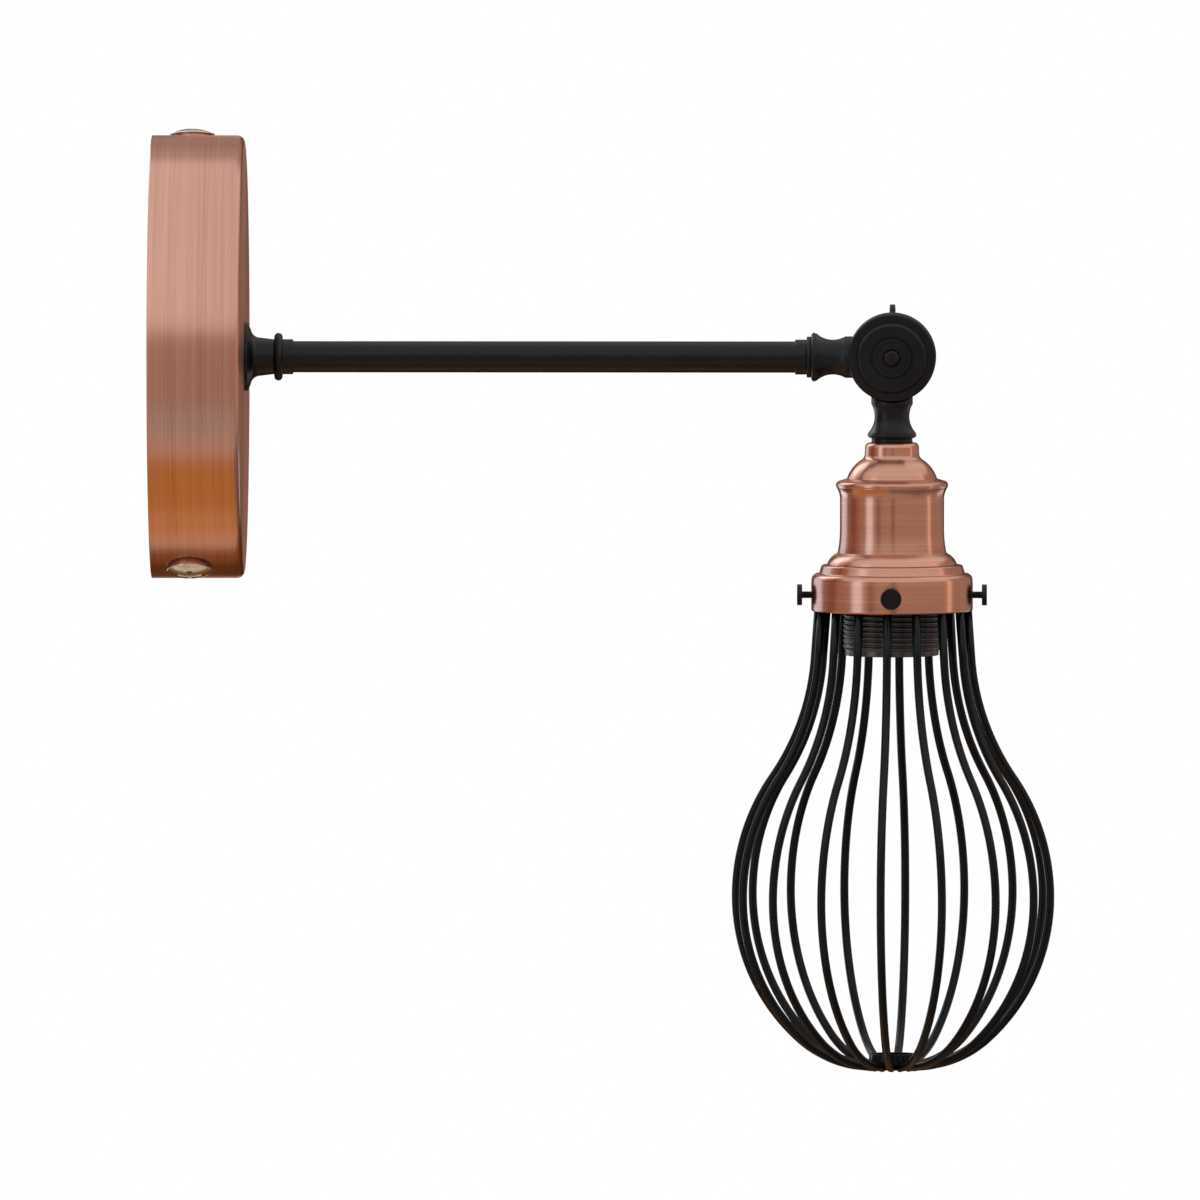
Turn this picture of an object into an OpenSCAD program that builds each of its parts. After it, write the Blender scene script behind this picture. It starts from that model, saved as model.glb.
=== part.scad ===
// Cage wall light: a round wall rose, a straight arm, a swivel knuckle and a lampholder
// in a spun holder whose gallery carries a bulb-shaped wire cage.
// Millimetres. The origin is on the wall, at the centre of the rose: X points away from
// the wall along the arm, Z points up, and the knuckle turns about Y.

/* [Wall rose] */
// Outer diameter of the rose
rose_d = 164; // [140:1:200]
// Depth of the rose from the wall to its front face
rose_depth = 34.3; // [32:0.1:45]
// Sheet thickness of the rose
rose_wall = 1.2; // [0.8:0.1:1.8]
// Radius of the rolled front edge
rose_edge_r = 2.6; // [2:0.1:6]

/* [Wall plate] */
// Diameter of the round plate on the wall
plate_d = 96; // [90:1:110]
// Sheet thickness of the plate and its ears
plate_t = 1.6; // [1.2:0.1:2.2]
// Diameter of the hole for the supply cable
cable_hole_d = 22; // [14:1:30]
// Diameter of the two wall screw holes
fixing_hole_d = 5; // [4:0.1:6]
// Distance between the two wall screw holes
fixing_spacing = 70; // [56:1:76]
// Width of the ears that the rose is screwed to
ear_w = 20; // [16:1:26]
// Length of the ears, from the wall
ear_len = 22; // [20:0.5:26]
// Outer bend radius of the ears
ear_bend_r = 2.6; // [2.4:0.1:4]

/* [Side screws] */
// Distance of the side screws from the wall
side_screw_x = 14.6; // [12:0.1:16]
// Angle of the upper side screw behind the vertical
side_top_tilt = 12; // [0:1:30]
// Angle of the lower side screw in front of the vertical
side_low_tilt = 20.5; // [0:0.5:30]
// Thread diameter of the side screws
side_screw_d = 4; // [3:0.5:5]
// Length of thread beyond the inside of the ear
side_screw_extra = 3; // [1:0.5:8]
// Diameter of the domed heads
side_head_d = 16.7; // [12:0.1:18]
// Height of the domed heads
side_head_h = 2.2; // [1.6:0.1:3]
// Thickness of the spacers under the heads
spacer_t = 1; // [0.6:0.1:2]
// Diameter of the spacers
spacer_d = 13.6; // [9:0.1:15]

/* [Connection block] */
// Distance between the poles of the block
pole_pitch = 8; // [7:0.5:9]
// Length of the block along the wires
block_len = 16; // [14:0.5:20]
// Height of the block above the wall plate
block_h = 13; // [11:0.5:15]
// Distance of the block's centre below the axis
block_drop = 36; // [34:0.5:38]

/* [Arm] */
// Distance of the knuckle's axis from the wall
arm_reach = 274.1; // [200:0.1:400]
// Outer diameter of the arm tube
tube_d = 11.6; // [11.2:0.1:12]
// Wall of the arm tube
tube_wall = 0.85; // [0.7:0.05:1.1]
// Wall of the hollow threaded nipples
nipple_wall = 1.35; // [0.8:0.05:1.6]
// Diameter of the trumpet flange at the rose
flange_d = 25.3; // [24:0.1:32]
// Length of the flange up to the bead
flange_len = 11; // [10:0.1:16]
// Radius of the hollow in the flange
flange_hollow_r = 3.5; // [2.5:0.1:4.5]
// Diameter of the flange where it meets the bead
flange_end_d = 12.9; // [12.8:0.1:14]
// Outer diameter of the bead ring
bead_d = 17.7; // [16:0.1:20]
// Width of the bead ring
bead_w = 3.1; // [2:0.1:4]
// Diameter of the sleeve beside the bead
sleeve_d = 13; // [12.8:0.1:14]
// Length of the sleeve beyond the bead
sleeve_len = 3.9; // [2:0.1:8]
// Outer diameter of the ferrule at the far end of the tube
ferrule_d = 12.95; // [12.8:0.05:14]
// Length of the ferrule
ferrule_len = 4.3; // [3:0.1:8]

/* [Knuckle] */
// Diameter of the knuckle's drum
drum_d = 32.6; // [31:0.1:36]
// Distance from the middle of the drum to each of its flat faces
drum_half = 8; // [7.8:0.1:9.5]
// Radius of the drum's outer edges
drum_edge_r = 0.8; // [0.4:0.1:1.4]
// Gap between the two halves, filled by the friction ring
parting = 0.6; // [0.5:0.05:1]
// Diameter of the front cap
cap_d = 26.1; // [22:0.1:27]
// Thickness of the front cap
cap_t = 1.8; // [1.4:0.1:2.6]
// Radius of the front cap's edge
cap_edge_r = 0.9; // [0.3:0.1:1.2]
// Diameter of the fine groove in the front cap
cap_groove_d = 15.1; // [12.4:0.1:18]
// Diameter of the pivot bolt
bolt_d = 5; // [4:0.1:5.4]
// Diameter of the bolt's round head in the front cap
pin_d = 5.9; // [5.6:0.1:6.4]
// Distance that the bolt's head stands out of the front cap
pin_out = 1.1; // [0.6:0.1:1.6]
// Length of each neck, from the hinge to its end
neck_len = 29.9; // [29.2:0.1:32]
// Diameter of the neck's collar beside the drum
collar_d = 15.4; // [14.6:0.1:15.4]
// Diameter of the neck's waist
waist_d = 12.9; // [12.6:0.1:13.6]
// Largest diameter of the neck's flare
flare_d = 18.1; // [17:0.1:19]
// Diameter of the lock rings at the ends of the necks
lock_ring_d = 15.2; // [14:0.1:16]
// Thickness of the lock rings
lock_ring_t = 1.7; // [1.2:0.1:2.4]

/* [Wing nut] */
// Span across the two wings
wing_span = 37.8; // [28:0.1:44]
// Thickness of the wings
wing_t = 2.2; // [1.6:0.1:3]
// Diameter of the nut's hub at its base
wing_hub_d = 12; // [10:0.1:14]
// Height of the nut's hub
wing_hub_h = 7; // [5:0.1:9]
// Thickness of the spring washer under the nut
spring_washer_t = 1; // [0.6:0.1:1.4]

/* [Holder] */
// Sheet thickness of the spun holder
holder_wall = 0.8; // [0.6:0.05:1]
// Diameter of the holder cap's neck
cap_neck_d = 20.2; // [19:0.1:22]
// Radius of the dome's curve
dome_r = 13; // [12.6:0.1:13.6]
// Distance of the dome's lower edge below the lock ring
dome_h = 13.4; // [13:0.1:14]
// Diameter of the dome's lower edge
dome_edge_d = 33.5; // [32.8:0.1:34.4]
// Distance of the dome curve's centre outside the axis
dome_off = 4.35; // [4:0.05:5]
// Radius of the hollow where the cap's neck meets the dome
cap_blend_r = 2.5; // [1:0.1:3.5]
// Distance that the body's rolled rim stands out of the body
rim_out = 1.5; // [1.2:0.1:2.2]
// Radius of the body's rolled rim
rim_r = 1.6; // [1.2:0.1:2]
// Height of the holder body, from the dome's edge to the gallery
body_h = 32; // [29:0.1:38]
// Height of the shoulder above the gallery
shoulder_h = 4.4; // [3.6:0.1:5]
// Distance that the shoulder's lower edge stands out of the body
shoulder_out = 4.85; // [4.2:0.05:5.6]

/* [Gallery] */
// Outer diameter of the gallery's band
gallery_d = 59.9; // [59:0.1:66]
// Sheet thickness of the gallery
gallery_wall = 0.7; // [0.5:0.05:0.9]
// Height of the gallery's narrow step
step_h = 3; // [2.4:0.1:3.6]
// Diameter of the narrow step at its top
step_d = 52.2; // [51:0.1:53]
// Diameter of the narrow step where it meets the band
step_foot_d = 54.1; // [53.4:0.1:55]
// Radius of the band's upper edge
gallery_edge_r = 2.4; // [1.4:0.1:2.6]
// Height of the gallery's band
band_h = 14; // [13:0.1:18]
// Thread diameter of the thumb screws
thumb_d = 2.5; // [2:0.1:3]
// Head diameter of the thumb screws
thumb_head_d = 7.8; // [5:0.1:9]
// Head thickness of the thumb screws
thumb_head_t = 1.85; // [1:0.05:2.5]
// Distance of the heads' faces from the gallery's band
thumb_reach = 5.2; // [4:0.1:8]
// Distance of the thumb screws above the gallery's lower edge
thumb_up = 5.9; // [5:0.1:7]

/* [Lampholder] */
// Thread diameter of the lampholder's skirt
skirt_d = 36.1; // [35:0.1:36.4]
// Depth of the skirt's thread
skirt_thread = 0.7; // [0.4:0.05:1]
// Pitch of the skirt's thread
skirt_pitch = 1.93; // [1.6:0.01:2.6]
// Distance that the skirt stands out below the gallery
skirt_out = 16.5; // [12:0.1:20]
// Inner diameter of the screw shell that takes the bulb
shell_d = 26.8; // [26.6:0.1:27]
// Sheet thickness of the screw shell
shell_wall = 0.4; // [0.3:0.05:0.5]
// Length of the screw shell
shell_len = 25; // [20:0.1:26]
// Outer diameter of the shade ring on the skirt
shade_ring_d = 47; // [44:0.1:49]
// Height of the shade ring
shade_ring_h = 5.5; // [3:0.1:5.6]

/* [Cage] */
// Diameter of the cage's wires
wire_d = 3; // [2.4:0.1:3.2]
// Number of wires
wire_count = 16; // [12:1:16]
// Angle of the first wire from straight ahead, to the left
wire_turn = 4.2; // [0:0.1:11]
// Largest radius of the cage, at the wires' middle line
belly_r = 58.5; // [54:0.1:64]
// Distance of the cage's widest place below the gallery
belly_drop = 105.7; // [102:0.1:112]
// Distance of the cage's lowest place below its widest place
foot_drop = 62.8; // [61:0.1:66]
// Slope of the wires where the neck meets the belly
cage_slope = 34.6; // [30:0.1:37]
// Slope of the wires at the collar
neck_slope = 4.5; // [2:0.1:8]
// Radius of the belly's upper curve
upper_r = 78; // [74:0.1:80]
// Radius of the belly's lower curve
lower_r = 71; // [68:0.1:73]
// Radius of the curve that turns the wires to the foot ring
foot_r = 39; // [30:0.1:44]
// Height of the collar's band
cage_collar_h = 8.7; // [7:0.1:9]
// Sheet thickness of the collar
cage_collar_t = 0.8; // [0.6:0.1:1.2]
// Distance of the collar's lower face above the gallery's edge
cage_collar_up = 1.8; // [1:0.1:2.6]
// Outer diameter of the foot ring
foot_ring_d = 17.8; // [17.6:0.1:22]
// Height of the foot ring
foot_ring_h = 5.9; // [4:0.1:9]
// Wall of the foot ring
foot_ring_wall = 1; // [0.8:0.1:2]

/* [Clearances] */
// Radial clearance of threads and turning fits
fit_gap = 0.05; // [0.02:0.01:0.08]
// Clearance of a part that slides in by hand
hand_gap = 0.2; // [0.1:0.05:0.4]
// Clearance between the drum and the other half's neck
swing_gap = 0.4; // [0.3:0.05:0.6]
// Clearance of a screw through a plain hole
hole_gap = 0.4; // [0.2:0.1:0.6]
// Gap between the lampholder's skirt and the holder body around it
skirt_gap = 0.45; // [0.3:0.05:0.8]

/* [Hidden] */
$fn = 96;
eps = 0.01;

copper = "#b87860";
black = "#262626";
steel = "#b9bcc0";
brass = "#b99a4f";

// Rose, wall plate and side screws
rose_r = rose_d / 2;
ear_r = sqrt(pow(rose_r - rose_wall - hand_gap, 2) - pow(ear_w / 2, 2));
screw_turns = [-side_top_tilt, 180 - side_low_tilt];
earth_at = [-26, 22];
earth_screw_d = 4;

// Connection block and wires
tube_up = 6;
block_tube_r = 2.4;
block_bore_r = 1.5;
core_r = 1;
core_y = -1.6;
core_z = 1.2;
core_up = 3.6;

// Arm
nipple_r = tube_d / 2 - tube_wall - fit_gap;
nipple_bore_r = nipple_r - nipple_wall;
washer_t = 0.8;
nut_t = 3;
nut_across = 14;
nipple_back = rose_depth - rose_wall - washer_t - nut_t - 4;
flange_seat = 7;
socket_x = rose_depth + flange_seat;
bead_x = rose_depth + flange_len;
sleeve_end = bead_x + bead_w + sleeve_len;
ring_end = neck_len + lock_ring_t;
tube_end = arm_reach - ring_end;
thread_in_neck = 6;
nipple_in_tube = 12;

// Knuckle, measured from the hinge
drum_r = drum_d / 2;
chamber_r = drum_r - 3;
chamber_depth = drum_half - 2.2;
boss_r = bolt_d / 2 + 1.7;
bolt_flange_r = bolt_d / 2 + 2.5;
bolt_flange_t = 1.2;
wire_hole_r = 3.4;
waist_curve_r = 9;
waist_at = neck_len - 8;
lip_r = 0.75;
neck_root = chamber_r + 0.7;
nut_face = drum_half + spring_washer_t;
bolt_end = nut_face + wing_hub_h + 1.4;

// Head, measured down from the hinge
dome_edge = ring_end + dome_h;
dome_centre = dome_edge + sqrt(pow(dome_r, 2) - pow(dome_edge_d / 2 - dome_off, 2));
gallery_top = dome_edge + body_h;
band_top = gallery_top + step_h;
gallery_end = band_top + band_h;
skirt_end = gallery_end + skirt_out;
rim_at = dome_edge + 0.6 + rim_r;
plate_under = dome_edge + 1.3;
holder_bore_r = skirt_d / 2 + skirt_gap;
body_r = holder_bore_r + holder_wall;
rim_side = body_r + rim_out;
entry_top = ring_end + 6;
cap_joint = plate_under + 11.7;
floor_t = 4;
terminal_x = 9;
shell_top = cap_joint + floor_t + 3;
mouth_r = skirt_d / 2 - skirt_thread - 2;
thumb_at = gallery_end - thumb_up;
band_r = gallery_d / 2;

// Cage, measured down from the hinge
collar_r = band_r - gallery_wall - hand_gap;
collar_end = gallery_end - cage_collar_up;
belly_at = gallery_end + belly_drop;
foot_at = belly_at + foot_drop;
foot_ring_end = foot_at + wire_d / 2 - 0.2;
wire_sides = 8;

// ---- shared shapes ----

module along_arm(x = 0) translate([x, 0, 0]) rotate([0, 90, 0]) children();
module back_from_hinge() translate([arm_reach, 0, 0]) rotate([0, -90, 0]) children();
module along_head(s = 0) translate([arm_reach, 0, -s]) mirror([0, 0, 1]) children();
module along_hinge() translate([arm_reach, 0, 0]) rotate([90, 0, 0]) children();

module ring(outer, inner, from, to)
    translate([0, 0, from]) difference() {
        cylinder(r = outer, h = to - from);
        translate([0, 0, -1]) cylinder(r = inner, h = to - from + 2);
    }

// Ring with small bevels on its outer edges
module bevelled_ring(outer, inner, from, to, bevel)
    rotate_extrude() polygon([
        [inner, from], [outer - bevel, from], [outer, from + bevel],
        [outer, to - bevel], [outer - bevel, to], [inner, to]
    ]);

// Half outline of a turned block whose far edge is rounded
module rounded_end(r, from, to, edge) {
    translate([0, from]) square([r, to - edge - from]);
    translate([0, from]) square([r - edge, to - from]);
    translate([r - edge, to - edge]) circle(edge);
}

module nipple(from, to) {
    bevelled_ring(nipple_r, nipple_bore_r, from, to, 0.4);
}

// Hexagon nut; the flats lie a given distance apart
module hex_nut(across, bore, from, to)
    difference() {
        translate([0, 0, from]) cylinder(d = across / cos(30), h = to - from, $fn = 6);
        translate([0, 0, from - 1]) cylinder(r = bore, h = to - from + 2);
    }

// Domed cap outline: a slice of a ball of the given radius and height
module dome_outline(r, h) {
    ball = (r * r + h * h) / (2 * h);
    intersection() {
        translate([0, h - ball]) circle(ball);
        square([r, h]);
    }
}

function unit(v) = v / norm(v);
function smooth(p, n) = n == 0 ? p : smooth(concat(
    [p[0]],
    [for (i = [0:len(p) - 2]) for (t = [0.25, 0.75]) p[i] * (1 - t) + p[i + 1] * t],
    [p[len(p) - 1]]), n - 1);
function carried(t, i, u) = i == len(t) ? [] :
    let (v = unit(u - (u * t[i]) * t[i])) concat([v], carried(t, i + 1, v));

// Round wire swept along a route, with flat ends square to the given directions
module swept_wire(route, r, side, first, last) {
    n = len(route) - 1;
    way = [for (i = [0:n]) i == 0 ? unit(first) : i == n ? unit(last)
        : unit(route[i + 1] - route[i - 1])];
    across = carried(way, 0, side);
    points = [for (i = [0:n]) for (k = [0:wire_sides - 1])
        let (a = (k + 0.5) * 360 / wire_sides)
        route[i] + r * (cos(a) * across[i] + sin(a) * cross(way[i], across[i]))];
    sides = [for (i = [0:n - 1]) for (k = [0:wire_sides - 1])
        let (a = i * wire_sides + k, b = i * wire_sides + (k + 1) % wire_sides)
        [a, a + wire_sides, b + wire_sides, b]];
    ends = [[for (k = [0:wire_sides - 1]) k],
        [for (k = [wire_sides - 1:-1:0]) n * wire_sides + k]];
    polyhedron(points, concat(sides, ends), convexity = 6);
}

// ---- wall side ----

// Section of one ear: a strap on the wall, bent forward to lie inside the rose
module ear_section() {
    bend = ear_bend_r;
    translate([plate_d / 2 - 8, 0]) square([ear_r - bend - plate_d / 2 + 8, plate_t]);
    translate([ear_r - plate_t, bend]) square([plate_t, ear_len - bend]);
    translate([ear_r - bend, bend]) intersection() {
        difference() {
            circle(bend);
            circle(bend - plate_t);
        }
        translate([0, -bend]) square(bend);
    }
}

module ear() rotate([-90, 0, 0]) rotate([0, 0, -90]) translate([0, 0, -ear_w / 2])
    linear_extrude(ear_w) ear_section();

module wall_plate() color(steel) difference() {
    union() {
        along_arm() cylinder(d = plate_d, h = plate_t);
        for (a = screw_turns) rotate([a, 0, 0]) ear();
    }
    along_arm(-1) cylinder(d = cable_hole_d, h = plate_t + 2);
    for (y = [-1, 1] * fixing_spacing / 2)
        translate([-1, y, 0]) rotate([0, 90, 0]) cylinder(d = fixing_hole_d, h = plate_t + 2);
    for (a = screw_turns) rotate([a, 0, 0])
        translate([side_screw_x, 0, ear_r - 5]) cylinder(r = side_screw_d / 2 + fit_gap, h = 10);
    translate([-1, earth_at[0], earth_at[1]]) rotate([0, 90, 0])
        cylinder(r = earth_screw_d / 2 + fit_gap, h = plate_t + 2);
}

module wall_rose() color(copper) difference() {
    along_arm() rotate_extrude() difference() {
        rounded_end(rose_r, 0, rose_depth, rose_edge_r);
        translate([0, -1]) rounded_end(rose_r - rose_wall, 0, rose_depth - rose_wall + 1,
            rose_edge_r - rose_wall);
        square([nipple_r + hole_gap, rose_depth + 1]);
    }
    for (a = screw_turns) rotate([a, 0, 0]) translate([side_screw_x, 0, rose_r - 10])
        cylinder(r = side_screw_d / 2 + hole_gap, h = 20);
}

module side_screws() color("silver")
    for (a = screw_turns) rotate([a, 0, 0]) translate([side_screw_x, 0, 0]) difference() {
        union() {
            translate([0, 0, rose_r + spacer_t]) rotate_extrude()
                dome_outline(side_head_d / 2, side_head_h);
            translate([0, 0, ear_r - plate_t - side_screw_extra])
                cylinder(d = side_screw_d, h = rose_r + spacer_t + 0.5 - ear_r + plate_t
                    + side_screw_extra);
        }
        for (turn = [0, 90]) rotate([0, 0, turn])
            translate([-side_head_d / 4, -0.6, rose_r + spacer_t + side_head_h - 1.1])
                cube([side_head_d / 2, 1.2, 2]);
    }

module side_spacers() color(copper)
    for (a = screw_turns) rotate([a, 0, 0]) difference() {
        translate([side_screw_x, 0, 0])
            ring(spacer_d / 2, side_screw_d / 2 + hole_gap, rose_r - 2, rose_r + spacer_t);
        along_arm() cylinder(r = rose_r, h = rose_depth, $fn = 720);
    }

module earth_screw() color(brass) translate([0, earth_at[0], earth_at[1]]) rotate([0, 90, 0])
    difference() {
        union() {
            cylinder(d = earth_screw_d, h = plate_t + 3);
            translate([0, 0, plate_t]) cylinder(d = 10, h = 0.8);
            translate([0, 0, plate_t + 2.9]) cylinder(d = 8, h = 2.4);
        }
        translate([-5, -0.5, plate_t + 4.3]) cube([10, 1, 2]);
    }

// ---- connection block: three poles side by side ----

module at_poles() for (i = [-1, 0, 1])
    translate([plate_t, i * pole_pitch, -block_drop]) children();

module connection_block() color("ivory") difference() {
    union() {
        at_poles() {
            translate([0, -pole_pitch / 2, -block_len / 2])
                cube([tube_up + block_tube_r + 1, pole_pitch, block_len]);
            for (z = [-1, 1] * block_len / 4) translate([0, 0, z]) rotate([0, 90, 0])
                cylinder(d = pole_pitch * 0.86, h = block_h);
        }
    }
    at_poles() {
        translate([tube_up, 0, -block_len]) cylinder(r = block_tube_r, h = 2 * block_len);
        for (z = [-1, 1] * block_len / 4) translate([tube_up, 0, z]) rotate([0, 90, 0])
            cylinder(r = 1.6, h = block_h);
    }
}

module connection_tubes() color(brass) at_poles() difference() {
    translate([tube_up, 0, -block_len / 2 + 1])
        cylinder(r = block_tube_r - fit_gap, h = block_len - 2);
    translate([tube_up, 0, -block_len]) cylinder(r = block_bore_r, h = 2 * block_len);
    for (z = [-1, 1] * block_len / 4) translate([tube_up, 0, z]) rotate([0, 90, 0])
        cylinder(r = 1.3 + fit_gap, h = block_h);
}

module connection_screws() color(steel) at_poles() for (z = [-1, 1] * block_len / 4)
    translate([tube_up + block_bore_r + 0.1, 0, z]) rotate([0, 90, 0]) difference() {
        cylinder(r = 1.3, h = 3.6);
        translate([-2, -0.25, 2.9]) cube([4, 0.5, 2]);
    }

// ---- arm ----

module rose_nipple() color(steel) along_arm() nipple(nipple_back, socket_x + nipple_in_tube);

module rose_washer() color(steel)
    along_arm() ring(8, nipple_r + fit_gap, rose_depth - rose_wall - washer_t,
        rose_depth - rose_wall);

module rose_nut() color(steel)
    along_arm() hex_nut(nut_across, nipple_r + fit_gap,
        rose_depth - rose_wall - washer_t - nut_t, rose_depth - rose_wall - washer_t);

// Trumpet flange: a thin rim, a hollow curve and a slim cone that ends at the bead
module arm_flange() color(black) along_arm() rotate_extrude() difference() {
    hollow_x = rose_depth + 2.3 + flange_hollow_r;
    hollow_at = flange_end_d / 2 + 0.65 + flange_hollow_r;
    union() {
        polygon([
            [0, rose_depth], [flange_d / 2 - 0.3, rose_depth], [flange_d / 2, rose_depth + 0.3],
            [flange_d / 2, rose_depth + 1.1], [hollow_at, rose_depth + 2.3],
            [hollow_at, hollow_x], [hollow_at - flange_hollow_r, hollow_x],
            [flange_end_d / 2, bead_x], [0, bead_x]
        ]);
        square([sleeve_d / 2, sleeve_end]);
    }
    translate([hollow_at, hollow_x]) circle(flange_hollow_r);
    square([nipple_r + fit_gap, sleeve_end + 1]);
    translate([0, socket_x]) square([tube_d / 2 + fit_gap, sleeve_end]);
    square([flange_d, rose_depth]);
}

module arm_bead() color(black) along_arm() rotate_extrude() difference() {
    union() {
        translate([0, bead_x]) square([bead_d / 2 - bead_w / 2, bead_w]);
        translate([bead_d / 2 - bead_w / 2, bead_x + bead_w / 2]) circle(bead_w / 2);
    }
    square([sleeve_d / 2 + fit_gap, sleeve_end]);
}

module arm_tube() color(black)
    along_arm() ring(tube_d / 2, tube_d / 2 - tube_wall, socket_x, tube_end);

module arm_ferrule() color(black) back_from_hinge()
    bevelled_ring(ferrule_d / 2, tube_d / 2 + fit_gap, ring_end, ring_end + ferrule_len, 0.2);

module lock_ring() bevelled_ring(lock_ring_d / 2, nipple_r + fit_gap, neck_len, ring_end, 0.3);

module arm_lock_ring() color(black) back_from_hinge() lock_ring();

module knuckle_nipple() color(steel)
    back_from_hinge() nipple(neck_len - thread_in_neck + 0.3, ring_end + nipple_in_tube);

// ---- knuckle ----

// Neck outline: collar beside the drum, hollow waist, flare with a rounded lip
module neck_outline() difference() {
    union() {
        translate([0, neck_root]) square([collar_d / 2, waist_at - 3 - neck_root]);
        polygon([
            [0, waist_at - 4], [collar_d / 2, waist_at - 4], [flare_d / 2 - 0.2, neck_len - 1.7],
            [flare_d / 2 - 0.7, neck_len], [0, neck_len]
        ]);
        translate([flare_d / 2 - lip_r, neck_len - 0.95]) circle(lip_r);
    }
    translate([waist_d / 2 + waist_curve_r, waist_at]) circle(waist_curve_r);
}

// One half of the drum, on the side of the hinge that the viewer sees
module drum_half_solid() rotate_extrude() difference() {
    rounded_end(drum_r, parting / 2, drum_half, drum_edge_r);
    translate([boss_r, 0]) square([chamber_r - boss_r, chamber_depth]);
}

// A neck with its thread and wire hole, cut clear of the other half's drum
module neck_solid() rotate_extrude() neck_outline();

module neck_bores() {
    translate([0, 0, boss_r + 1]) cylinder(r = wire_hole_r, h = neck_len);
    translate([0, 0, neck_len - thread_in_neck])
        cylinder(r = nipple_r + fit_gap, h = thread_in_neck + 1);
}

module knuckle_arm_half() color(black) difference() {
    union() {
        along_hinge() drum_half_solid();
        difference() {
            back_from_hinge() neck_solid();
            along_hinge() translate([0, 0, -20])
                cylinder(r = drum_r + swing_gap, h = 20 + parting / 2);
        }
    }
    back_from_hinge() neck_bores();
    along_hinge() {
        cylinder(r = bolt_d / 2 + fit_gap, h = drum_half + 1);
        translate([0, 0, drum_half - bolt_flange_t])
            cylinder(r = bolt_flange_r + fit_gap, h = bolt_flange_t + 1);
    }
}

module knuckle_head_half() color(black) difference() {
    union() {
        along_hinge() mirror([0, 0, 1]) drum_half_solid();
        difference() {
            along_head() neck_solid();
            along_hinge() translate([0, 0, -parting / 2])
                cylinder(r = drum_r + swing_gap, h = 20 + parting / 2);
        }
    }
    along_head() neck_bores();
    along_hinge() translate([0, 0, -drum_half - 1])
        cylinder(r = bolt_d / 2 + fit_gap, h = drum_half + 1);
}

module knuckle_cap() color(black) along_hinge() rotate_extrude() difference() {
    rounded_end(cap_d / 2, drum_half, drum_half + cap_t, cap_edge_r);
    square([pin_d / 2 + hole_gap, 20]);
    translate([cap_groove_d / 2, drum_half + cap_t]) circle(0.3);
    translate([cap_groove_d / 2 - 2, drum_half + cap_t]) circle(0.2);
}

module knuckle_bolt() color(steel) along_hinge() union() {
    translate([0, 0, -bolt_end]) cylinder(d = bolt_d, h = bolt_end + drum_half - 0.5);
    translate([0, 0, drum_half - bolt_flange_t]) cylinder(r = bolt_flange_r, h = bolt_flange_t);
    rotate_extrude() rounded_end(pin_d / 2, drum_half - 0.5, drum_half + cap_t + pin_out, 0.8);
}

module friction_ring() color("dimgray") along_hinge()
    ring(drum_r - 0.5, chamber_r + 0.3, -parting / 2 + 0.02, parting / 2);

module spring_washer() color(steel) along_hinge()
    ring(8, bolt_d / 2 + fit_gap, -nut_face, -drum_half - 0.02);

// Wing outline in the plane of the hinge: x along the wing, y away from the drum
module wing_outline() {
    tip = wing_span / 2;
    ear = 3.4;
    polygon([[0, 0.6], [wing_hub_d / 2, 0.6], [tip - ear - 1.6, 3.2], [tip - ear, wing_hub_h + 1.6],
        [0, wing_hub_h - 2]]);
    translate([tip - ear, wing_hub_h + 1.6 - ear + 0.6]) circle(ear);
}

module wing_nut() color(black) along_hinge() mirror([0, 0, 1]) translate([0, 0, nut_face])
    difference() {
        union() {
            rotate_extrude() polygon([[0, 0.05], [wing_hub_d / 2, 0.05], [wing_hub_d / 2, 1.6],
                [wing_hub_d / 2 - 1.4, wing_hub_h], [0, wing_hub_h]]);
            for (side = [0, 180]) rotate([0, 0, side + 90]) translate([0, wing_t / 2, 0])
                rotate([90, 0, 0]) linear_extrude(wing_t) wing_outline();
        }
        translate([0, 0, -1]) cylinder(r = bolt_d / 2 + fit_gap, h = wing_hub_h + 2);
    }

// ---- head ----

module head_lock_ring() color(black) along_head() lock_ring();

module head_nipple() color(steel)
    along_head() nipple(neck_len - thread_in_neck + 0.3, entry_top + 8.5);

// Dome disc in the half plane, cut off at the dome's lower edge
module dome_slice(r) intersection() {
    translate([dome_off, dome_centre]) circle(r);
    translate([0, ring_end]) square([dome_off + dome_r, dome_h]);
}

// Web between the neck and the dome, hollowed by a circle that touches both
module cap_blend() {
    neck_r = cap_neck_d / 2;
    hollow_c = [neck_r + cap_blend_r, dome_centre
        - sqrt(pow(dome_r + cap_blend_r, 2) - pow(neck_r + cap_blend_r - dome_off, 2))];
    touch = [dome_off, dome_centre]
        + dome_r * unit(hollow_c - [dome_off, dome_centre]);
    difference() {
        polygon([[neck_r - 1, hollow_c[1]], [neck_r, hollow_c[1]], touch,
            [neck_r - 1, touch[1] + 0.5]]);
        translate(hollow_c) circle(cap_blend_r);
    }
}

module holder_cap() color(copper) along_head() rotate_extrude() difference() {
    union() {
        translate([0, 2 * ring_end + 7]) mirror([0, 1])
            rounded_end(cap_neck_d / 2, ring_end, ring_end + 7, 1.3);
        dome_slice(dome_r);
        cap_blend();
    }
    dome_slice(dome_r - holder_wall);
    translate([0, ring_end + holder_wall]) square([cap_neck_d / 2 - holder_wall, 6]);
    square([nipple_r + fit_gap, dome_edge]);
}

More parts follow.
